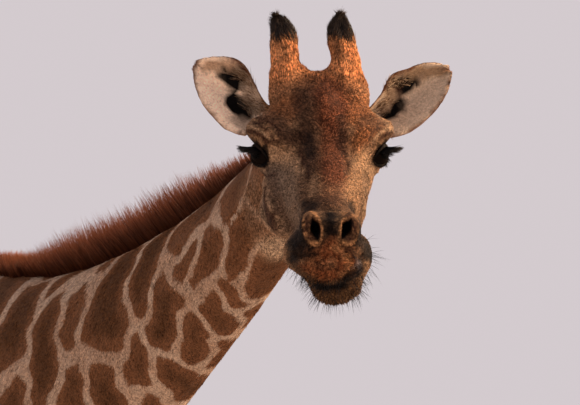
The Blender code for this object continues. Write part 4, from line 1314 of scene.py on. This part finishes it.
# ---------------------------------------------------------------- floor, light and camera
VIEW_AROUND = 63.0  # degrees round from the animal's right side towards her front
VIEW_RISE = -1.5
VIEW_AWAY = 10.0
VIEW_WIDTH = 1.0357  # of what the camera sees at the head
VIEW_FROM_EYES = (-0.0536, -0.0884)  # the view's middle, right of and above the eyes
SENSOR = 36
SKY_TONE = (0.655, 0.595, 0.620, 1)
FLOOR_TONE = (0.62, 0.58, 0.57, 1)
FLOOR_RADIUS = 40
SUN_WARM = (1.0, 0.74, 0.50)


def camera_axes():
    around, rise = math.radians(VIEW_AROUND), math.radians(VIEW_RISE)
    back = Vector((math.sin(around) * math.cos(rise), -math.cos(around) * math.cos(rise), math.sin(rise)))
    right = Vector((math.cos(around), math.sin(around), 0))
    return right, back.cross(right), back


def add_camera():
    right, up, back = camera_axes()
    data = bpy.data.cameras.new("camera")
    data.sensor_width = SENSOR
    data.lens = SENSOR * VIEW_AWAY / VIEW_WIDTH
    data.clip_end = 200
    camera = bpy.data.objects.new("camera", data)
    bpy.context.scene.collection.objects.link(camera)
    middle = HEAD.translation + right * VIEW_FROM_EYES[0] + up * VIEW_FROM_EYES[1]
    camera.location = middle + back * VIEW_AWAY
    camera.rotation_mode = "QUATERNION"
    camera.rotation_quaternion = back.to_track_quat("Z", "Y")
    bpy.context.scene.camera = camera


def add_sun(name, direction, strength, colour, spread):
    """A sun whose light comes from that direction."""
    data = bpy.data.lights.new(name, "SUN")
    data.energy = strength
    data.color = colour
    data.angle = math.radians(spread)
    light = bpy.data.objects.new(name, data)
    bpy.context.scene.collection.objects.link(light)
    light.rotation_mode = "QUATERNION"
    light.rotation_quaternion = Vector(direction).to_track_quat("Z", "Y")


def add_light():
    right, up, back = camera_axes()
    add_sun("key", right * 0.88 - back * 0.20 + up * 0.42, 5.3, SUN_WARM, 14)
    add_sun("rim", right * 0.62 - back * 0.62 + up * 0.45, 2.4, SUN_WARM, 8)
    world = bpy.data.worlds.new("studio")
    world.use_nodes = True
    sky = world.node_tree.nodes["Background"]
    sky.inputs["Color"].default_value = SKY_TONE
    sky.inputs["Strength"].default_value = 1.0
    bpy.context.scene.world = world
    bpy.context.scene.view_settings.view_transform = "Standard"


def add_floor():
    mesh = bpy.data.meshes.new("floor")
    bm = bmesh.new()
    bmesh.ops.create_circle(bm, cap_ends=True, segments=96, radius=FLOOR_RADIUS)
    bm.to_mesh(mesh)
    bm.free()
    floor = add_object("floor", mesh)
    material = bpy.data.materials.new("pale_floor")
    material.use_nodes = True
    shader = material.node_tree.nodes["Principled BSDF"]
    shader.inputs["Base Color"].default_value = FLOOR_TONE
    shader.inputs["Roughness"].default_value = 0.9
    mesh.materials.append(material)


# ---------------------------------------------------------------- what grows where
NECK_FROM = 0.30  # distance up the neck where its coat takes over from the trunk's
NECK_MIDDLE = 0.9


def ear_fringe(head, member, inner):
    """Where long pale hair grows: beside the dark hollows, on the side nearer the skull."""
    front = seen_from_ahead(head)
    fringe = np.zeros(len(head))
    for name, _, width, *line in EAR_STROKES:
        if name == "black":
            width = width / 1000
            near_skull = front + np.array((np.sign(line[0][0]) * 0.029, 0))
            fringe = np.maximum(fringe, step(width, width * 0.5, path_distance(near_skull, metres(line))[0]))
    return fringe * member * inner


def hair_lengths(points, head, on_head, under_mane):
    """How long the hair is, as a share of its piece's own length."""
    along, _, _ = up_the_neck(points)
    x, _, z = head.T
    length = 1.0 - 0.30 * step(0.25, 0.35, x) * on_head + 0.5 * step(0.08, 0.15, z) * on_head * (x < -0.03)
    length = length * (1 + 0.9 * step(-0.195, -0.230, z) * step(0.26, 0.31, x) * on_head)
    along_mane = (0.08 + 0.92 * step(-0.25, -0.78, x)) * (0.45 + 0.55 * step(0.14, 0.60, along))
    mane_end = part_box("mane_lower")[0].x
    along_mane *= 0.12 + 0.88 * step(mane_end, mane_end + 0.12, points[:, 0])
    beside = np.minimum(length, np.maximum(along_mane, 0.35))
    beside_reach = np.where(on_head, 0.03, MANE_REACH)
    length = np.where(under_mane < 0.012, along_mane, np.where(under_mane < beside_reach, beside, length))
    length = length - 0.25 * step(0.9, 0.4, points[:, 2])
    for side in SIDES.values():
        length = length - 0.45 * step(0.075, 0.045, np.linalg.norm(head - eye_centre(side), axis=1))
    return length


def hair_masks(points, normals, head, cover):
    """How densely each kind of hair grows at every point of the skin, and how long it is there."""
    along, _, _ = up_the_neck(points)
    lengthwise, sideways, height = points.T
    x, y, z = head.T
    on_head = cover > 0.5
    off_head = 1 - on_head
    nose = stroke(head, (0.385, 0, -0.085), (0.045, 0.050, 0.034), 0.3)
    lids, ears, ear_inner, fringe = np.zeros((4, len(points)))
    for side_name, side in SIDES.items():
        inside, _, out = lid_opening(head, side)
        lids = np.maximum(lids, step(-0.008, -0.004, inside) * step(0.045, 0.035, out))
        _, _, inner, member = ear_places(head, normals, side_name)
        ears = np.maximum(ears, member)
        ear_inner = np.maximum(ear_inner, member * inner)
        fringe = np.maximum(fringe, ear_fringe(head, member, inner))
        ring = step(1.35, 1.10, wing_measure(head, side)) * (x > 0.32) * (y * side > 0)
        nose = np.maximum(nose, ring * 2.9)
    lips = step(0.004, 0.008, path_distance(head, MOUTH)[0])
    horn_tip = step(0.184, 0.192, z + 0.005 * np.sin(y * 700)) * (x < -0.08) * on_head
    face = on_head * np.maximum(1 - nose * 0.35, 0) * (1 - lids) * (1 - ears) * lips * (1 - 0.7 * horn_tip)
    front = step(-0.06, -0.04, x)
    beard = step(0.28, 0.33, x) * step(-0.165, -0.185, z) * lips
    beard = beard + 0.5 * stroke(head, (0.392, 0, -0.150), (0.05, 0.045, 0.02))
    under_mane = gap_to(MANE, points, MANE_REACH)
    mane = step(0.010, 0.006, under_mane)
    neck = off_head * (along > NECK_FROM) * (1 - mane)
    low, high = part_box("tail")
    tail_end = low.z + 0.10
    tail_root = min(high.x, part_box("trunk")[0].x + 0.03)
    at_tail = (lengthwise < tail_root) * (height < high.z) * (np.abs(sideways) < 0.05)
    tail = at_tail * step(tail_end + 0.06, tail_end - 0.04, height)
    legs = off_head * (along <= NECK_FROM) * step(1.22, 1.16, height) * (height > 0.075) * (1 - tail)
    return {
        "fur_face_left": face * front * (y > 0),
        "fur_face_right": face * front * (y <= 0),
        "fur_crown": face * (1 - front),
        "fur_ears": ears * (1 - ear_inner),
        "fur_ear_cup": ear_inner,
        "ear_fringe": fringe,
        "horn_tip": horn_tip,
        "beard": beard * on_head,
        # The ear cups, where the coat's grain is calmer and its colour is painted lighter, as painted light.
        "smooth": ear_inner,
        "mane": mane,
        "fur_neck_upper": neck * (along > NECK_MIDDLE),
        "fur_neck_lower": neck * (along <= NECK_MIDDLE),
        "fur_trunk": off_head * (along <= NECK_FROM) * (legs < 0.5) * (1 - tail),
        "fur_legs": legs,
        "tail_hair": tail,
        "hair_length": hair_lengths(points, head, on_head, under_mane),
    }


def dressed_skin():
    """The skin with its markings, its unwrap, the lie of its hair and the masks that say what grows where."""
    mesh = whole_skin()
    points, normals = points_of(mesh), normals_of(mesh)
    head = in_head(points)
    colour, cover = face_paint(head, normals)
    ear_paint(colour, cover, head, normals)
    store(mesh, "patch", patch_edges(points))
    store(mesh, "paint", np.concatenate((colour, np.ones((len(colour), 1))), 1))
    store(mesh, "painted", cover)
    store(mesh, "lie", fur_lie(points, normals, head))
    for name, values in hair_masks(points, normals, head, cover).items():
        store(mesh, name, values)
    skin = add_object("skin", mesh)
    unwrap(skin)
    mesh.materials.append(coat_finish("furred_hide", tufts=False))
    return skin


def unwrap(obj):
    """Lays the mesh out flat in patches, which the tufts' own patches start from."""
    bpy.context.view_layer.objects.active = obj
    obj.select_set(True)
    bpy.ops.object.mode_set(mode="EDIT")
    bpy.ops.mesh.select_all(action="SELECT")
    bpy.ops.uv.smart_project(angle_limit=math.radians(66), island_margin=0.0005)
    bpy.ops.object.mode_set(mode="OBJECT")
    obj.select_set(False)
    obj.data.uv_layers[0].name = "OFBake"


def show(name, mesh, finish, slot, *stands_for):
    """Sets up a visible piece, smooth and in its finish, with the nodes that it stands for."""
    mesh.materials.clear()
    mesh.materials.append(finish)
    mesh.shade_smooth()
    piece = add_object(name, mesh)
    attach(piece, "root")
    if stands_for:
        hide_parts(*stands_for)


# ---------------------------------------------------------------- short coat and long hair
# Each piece: mask, tufts to the square metre, length, width, segments, lift, spread, wave and bend.
TUFT_INPUTS = ("Mask", "Density", "Length", "Width", "Segments", "Lift", "Spread", "Wave", "Bend")
COAT_PIECES = (
    ("face_coat_left", "fur_face_left", 290e3, 0.0068, 0.00090, 1, 0.18, 0.16, 0.5, -1.5),
    ("face_coat_right", "fur_face_right", 290e3, 0.0068, 0.00090, 1, 0.18, 0.16, 0.5, -1.5),
    ("crown_coat", "fur_crown", 260e3, 0.0078, 0.00095, 1, 0.17, 0.16, 0.4, -1.5),
    ("neck_coat_upper", "fur_neck_upper", 100e3, 0.0090, 0.0011, 1, 0.16, 0.14, 0.3, -1.5),
    ("neck_coat_lower", "fur_neck_lower", 62e3, 0.0105, 0.0013, 1, 0.16, 0.14, 0.3, -1.5),
    ("trunk_coat", "fur_trunk", 8.2e3, 0.0180, 0.0026, 1, 0.14, 0.14, 0.3, -1.5),
    ("leg_coat", "fur_legs", 20e3, 0.0130, 0.0020, 1, 0.14, 0.14, 0.2, -1.5),
    ("ear_coat", "fur_ears", 200e3, 0.0045, 0.0007, 1, 0.04, 0.12, 0.2, -1.5),
    ("ear_cup_coat", "fur_ear_cup", 300e3, 0.0040, 0.0006, 1, 0.04, 0.20, 0.3, -1.5),
)
LONG_HAIR = (
    ("mane", "mane", 210e3, 0.086, 0.0015, 2, 2.8, 0.30, 0.60, 5.0),
    ("horn_tufts", "horn_tip", 560e3, 0.013, 0.0009, 2, 0.06, 0.12, 0.25, -2.0),
    ("tail_tuft_hair", "tail_hair", 120e3, 0.50, 0.0022, 3, 0.03, 0.048, 0.06, -3.0),
    ("beard", "beard", 330e3, 0.0075, 0.0008, 2, 0.45, 0.35, 0.25, -1.0),
    ("ear_fringe", "ear_fringe", 150e3, 0.014, 0.0006, 2, 0.35, 0.40, 0.25, -3.0),
)
LONG_HAIR_SEED = 100


def grow(skin, tree, name, measures, seed, finish, slot, *stands_for):
    """One piece of hair: the tuft tree run over the skin with these measures, as a plain mesh."""
    inputs = dict(zip(TUFT_INPUTS, measures), Seed=seed, Finish=finish)
    roots = add_object("roots", skin.data)
    modifier = roots.modifiers.new("tufts", "NODES")
    modifier.node_group = tree
    for socket in tree.interface.items_tree:
        if socket.in_out == "INPUT" and socket.name in inputs:
            modifier[socket.identifier] = inputs[socket.name]
    show(name, after_modifiers(roots, name), finish, slot, *stands_for)


def make_coats(skin, tree):
    finish = coat_finish("coat_tufts", tufts=True)
    for seed, (name, *measures) in enumerate(COAT_PIECES):
        grow(skin, tree, name, measures, seed, finish, "hide")


def make_long_hair(skin, tree):
    """Mane, black tips of the horns, tail tuft, beard and the hair that crosses the ears."""
    mane = hair_finish("mane_hair", tone(80, 46, 31), tone(150, 86, 55))
    black = hair_finish("black_hair", tone(27, 22, 19), tone(70, 56, 46))
    beard = bpy.data.materials["coat_tufts"]
    pale = hair_finish("ear_hair", tone(120, 92, 70), tone(206, 174, 140))
    wear = {
        "mane": (mane, "mane_hair", MANE),
        "horn_tufts": (black, "black_hair", ["ossicone_tuft_left", "ossicone_tuft_right"]),
        "tail_tuft_hair": (black, "black_hair", ["tail_tuft"]),
        "beard": (beard, "hide", []),
        "ear_fringe": (pale, "hide", []),
    }
    for seed, (name, *measures) in enumerate(LONG_HAIR, LONG_HAIR_SEED):
        finish, slot, stands_for = wear[name]
        grow(skin, tree, name, measures, seed, finish, slot, *stands_for)


# ---------------------------------------------------------------- eyes, lashes, whiskers and hooves
PUPIL_HALF = (0.46, 0.24)  # half its width and height, as shares of the eyeball's radius
LASHES_ABOVE = 340
LASHES_BELOW = 36
CHIN_WHISKERS = 360
LIP_WHISKERS = 70


def ball(name, radius):
    bm = bmesh.new()
    bmesh.ops.create_uvsphere(bm, u_segments=48, v_segments=32, radius=radius)
    mesh = bpy.data.meshes.new(name)
    bm.to_mesh(mesh)
    bm.free()
    return mesh


def make_eyes():
    """Smooth eyeballs, each with a dark pupil lying level across it."""
    finish = eye_finish()
    for side_name, side in SIDES.items():
        mesh = ball(f"eyeball_{side_name}", EYE_RADIUS)
        out = points_of(mesh) / EYE_RADIUS
        gaze = GAZE * (1, side, 1)
        level = unit(np.cross((0, 0, 1), gaze))
        spread = np.hypot((out @ level) / PUPIL_HALF[0], out[:, 2] / PUPIL_HALF[1])
        store(mesh, "pupil", step(1.15, 0.9, spread) * (out @ gaze > 0))
        set_points(mesh, from_head(eye_centre(side) + out * EYE_RADIUS))
        show(f"eyeball_{side_name}", mesh, finish, "eye", f"eye_{side_name}")

PATCHES_ACROSS = 32  # places of single hairs in a row of their unwrap


def bristle(bm, layers, number, path, radius):
    """A tapering three-sided hair along a bent line; its vertices note how far along and across they lie."""
    path = [Vector(p) for p in path]
    rings = []
    for i, place in enumerate(path[:-1]):
        way = (path[i + 1] - place).normalized()
        side = way.orthogonal().normalized()
        ring = []
        for k in range(3):
            a = 2 * math.pi * k / 3
            out = side * math.cos(a) + way.cross(side) * math.sin(a)
            vert = bm.verts.new(place + out * radius * (1 - 0.85 * i / (len(path) - 1)))
            vert[layers["along"]] = i / (len(path) - 1)
            vert[layers["across"]] = math.cos(a)
            ring.append(vert)
        rings.append(ring)
    tip = bm.verts.new(path[-1])
    tip[layers["along"]] = 1.0
    for low, high in zip(rings, rings[1:]):
        for k in range(3):
            bm.faces.new((low[k], low[(k + 1) % 3], high[(k + 1) % 3], high[k]))
    for k in range(3):
        bm.faces.new((rings[-1][k], rings[-1][(k + 1) % 3], tip))
    bm.faces.new(rings[0][::-1])
    for vert in sum(rings, [tip]):
        vert[layers["number"]] = number


def bristles(name, rows, finish, slot):
    """A piece of single hairs: each row is a bent line and its radius at the root."""
    bm = bmesh.new()
    layers = {key: bm.verts.layers.float.new(key) for key in ("along", "across", "number")}
    for number, (path, radius) in enumerate(rows):
        bristle(bm, layers, number, path, radius)
    patches = bm.loops.layers.uv.new("OFBake")
    for face in bm.faces:
        for loop in face.loops:
            row, column = divmod(loop.vert[layers["number"]], PATCHES_ACROSS)
            column = (column + 0.5) / (PATCHES_ACROSS + 1) + loop.vert[layers["along"]] * 0.003
            row = (row + 0.5) / (PATCHES_ACROSS + 1) + loop.vert[layers["across"]] * 0.0015
            loop[patches].uv = (column, row)
    mesh = bpy.data.meshes.new(name)
    bm.to_mesh(mesh)
    bm.free()
    store(mesh, "shade", np.full(len(mesh.vertices), 0.5))
    show(name, mesh, finish, slot)


def lid_spot(side, t, upper):
    """A place on a lid's edge, t from -1 at the back corner to 1 at the front one, and the way out there."""
    across = math.radians(LID_SPAN * t)
    arch = max(1 - t * t, 0) ** LID_ROUND
    height = CORNER_LINE[0] + CORNER_LINE[1] * t + (LID_HEIGHT[0] if upper else -LID_HEIGHT[1]) * arch
    rise = math.radians(height)
    level = GAZE * math.cos(across) + GAZE_FRONT * math.sin(across)
    out = (level * math.cos(rise) + GAZE_TOP * math.sin(rise)) * (1, side, 1)
    return eye_centre(side) + out * (EYE_RADIUS + LID_THICKNESS * 0.6), out


def make_lashes(finish):
    """Long black lashes standing out from the upper lid in clumps, and a few short ones below."""
    rng = np.random.default_rng(5)
    droop = np.array((0, 0, -0.10))
    rows = []
    for side in SIDES.values():
        for _ in range(LASHES_ABOVE):
            t = rng.uniform(-0.95, 0.62)
            clump = round(t * 7) / 7
            root, _ = lid_spot(side, t, True)
            _, lead = lid_spot(side, 0.55 * t + 0.45 * clump, True)
            long = rng.uniform(0.020, 0.036) * (1 - 0.30 * abs(t + 0.1))
            way = unit(lead * 0.30 + np.array((-0.10, side * 0.95, -0.38)) + rng.normal(0, 0.085, 3))
            path = []
            for s in (0, 0.35, 0.7, 1):
                path.append(root + way * long * s + (droop * 1.6 * s - droop * 2.6 * s * s) * long)
            rows.append((from_head(path), rng.uniform(0.0007, 0.0011)))
        for _ in range(LASHES_BELOW):
            t = rng.uniform(-0.8, 0.8)
            root, out = lid_spot(side, t, False)
            long = rng.uniform(0.005, 0.010)
            way = unit(out + np.array((0, side * 0.2, -0.9)) + rng.normal(0, 0.12, 3))
            rows.append((from_head([root + way * long * s for s in (0, 0.5, 1)]), 0.0005))
    bristles("lashes", rows, finish, "black_hair")


def make_whiskers(skin, finish):
    """Stiff dark hairs round the lips and under the chin."""
    rng = np.random.default_rng(8)
    points, normals = points_of(skin.data), normals_of(skin.data)
    x, y, z = in_head(points).T
    chin = (x > 0.285) & (z < -0.165)
    lips = (x > 0.30) & (z < -0.105) & (z > -0.165) & (np.abs(y) > 0.030)
    rows = []
    for where, count, low, high in ((chin, CHIN_WHISKERS, 0.008, 0.028), (lips, LIP_WHISKERS, 0.012, 0.040)):
        for i in rng.choice(np.nonzero(where)[0], count):
            long = rng.uniform(low, high)
            way = unit(normals[i] + rng.normal(0, 0.25, 3) + np.array((0, 0, -0.25)))
            sag = np.array((0, 0, -0.25 * long))
            path = [points[i] + way * long * s + sag * s * s for s in (-0.05, 0.35, 0.7, 1)]
            rows.append((path, rng.uniform(0.00022, 0.00042)))
    bristles("whiskers", rows, finish, "black_hair")


def make_hooves():
    """The claws of all four feet, smoothed, with rings of growth."""
    finish = hoof_finish()
    for name in HOOVES:
        mesh = remeshed(solids([name], 0), HOOF_VOXEL)
        points = relaxed(points_of(mesh), edges_of(mesh), 6)
        points[:, 2] = np.maximum(points[:, 2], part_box(name)[0].z)
        set_points(mesh, points)
        show("horn_" + name, mesh, finish, "hoof", name)


add_camera()
add_light()
add_floor()
skin = dressed_skin()
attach(skin, "root")
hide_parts(*FLESH)
tufts = tuft_tree()
make_coats(skin, tufts)
make_long_hair(skin, tufts)
make_eyes()
dark = hair_finish("lash_hair", tone(14, 12, 12), tone(34, 28, 26))
make_lashes(dark)
make_whiskers(skin, dark)
make_hooves()
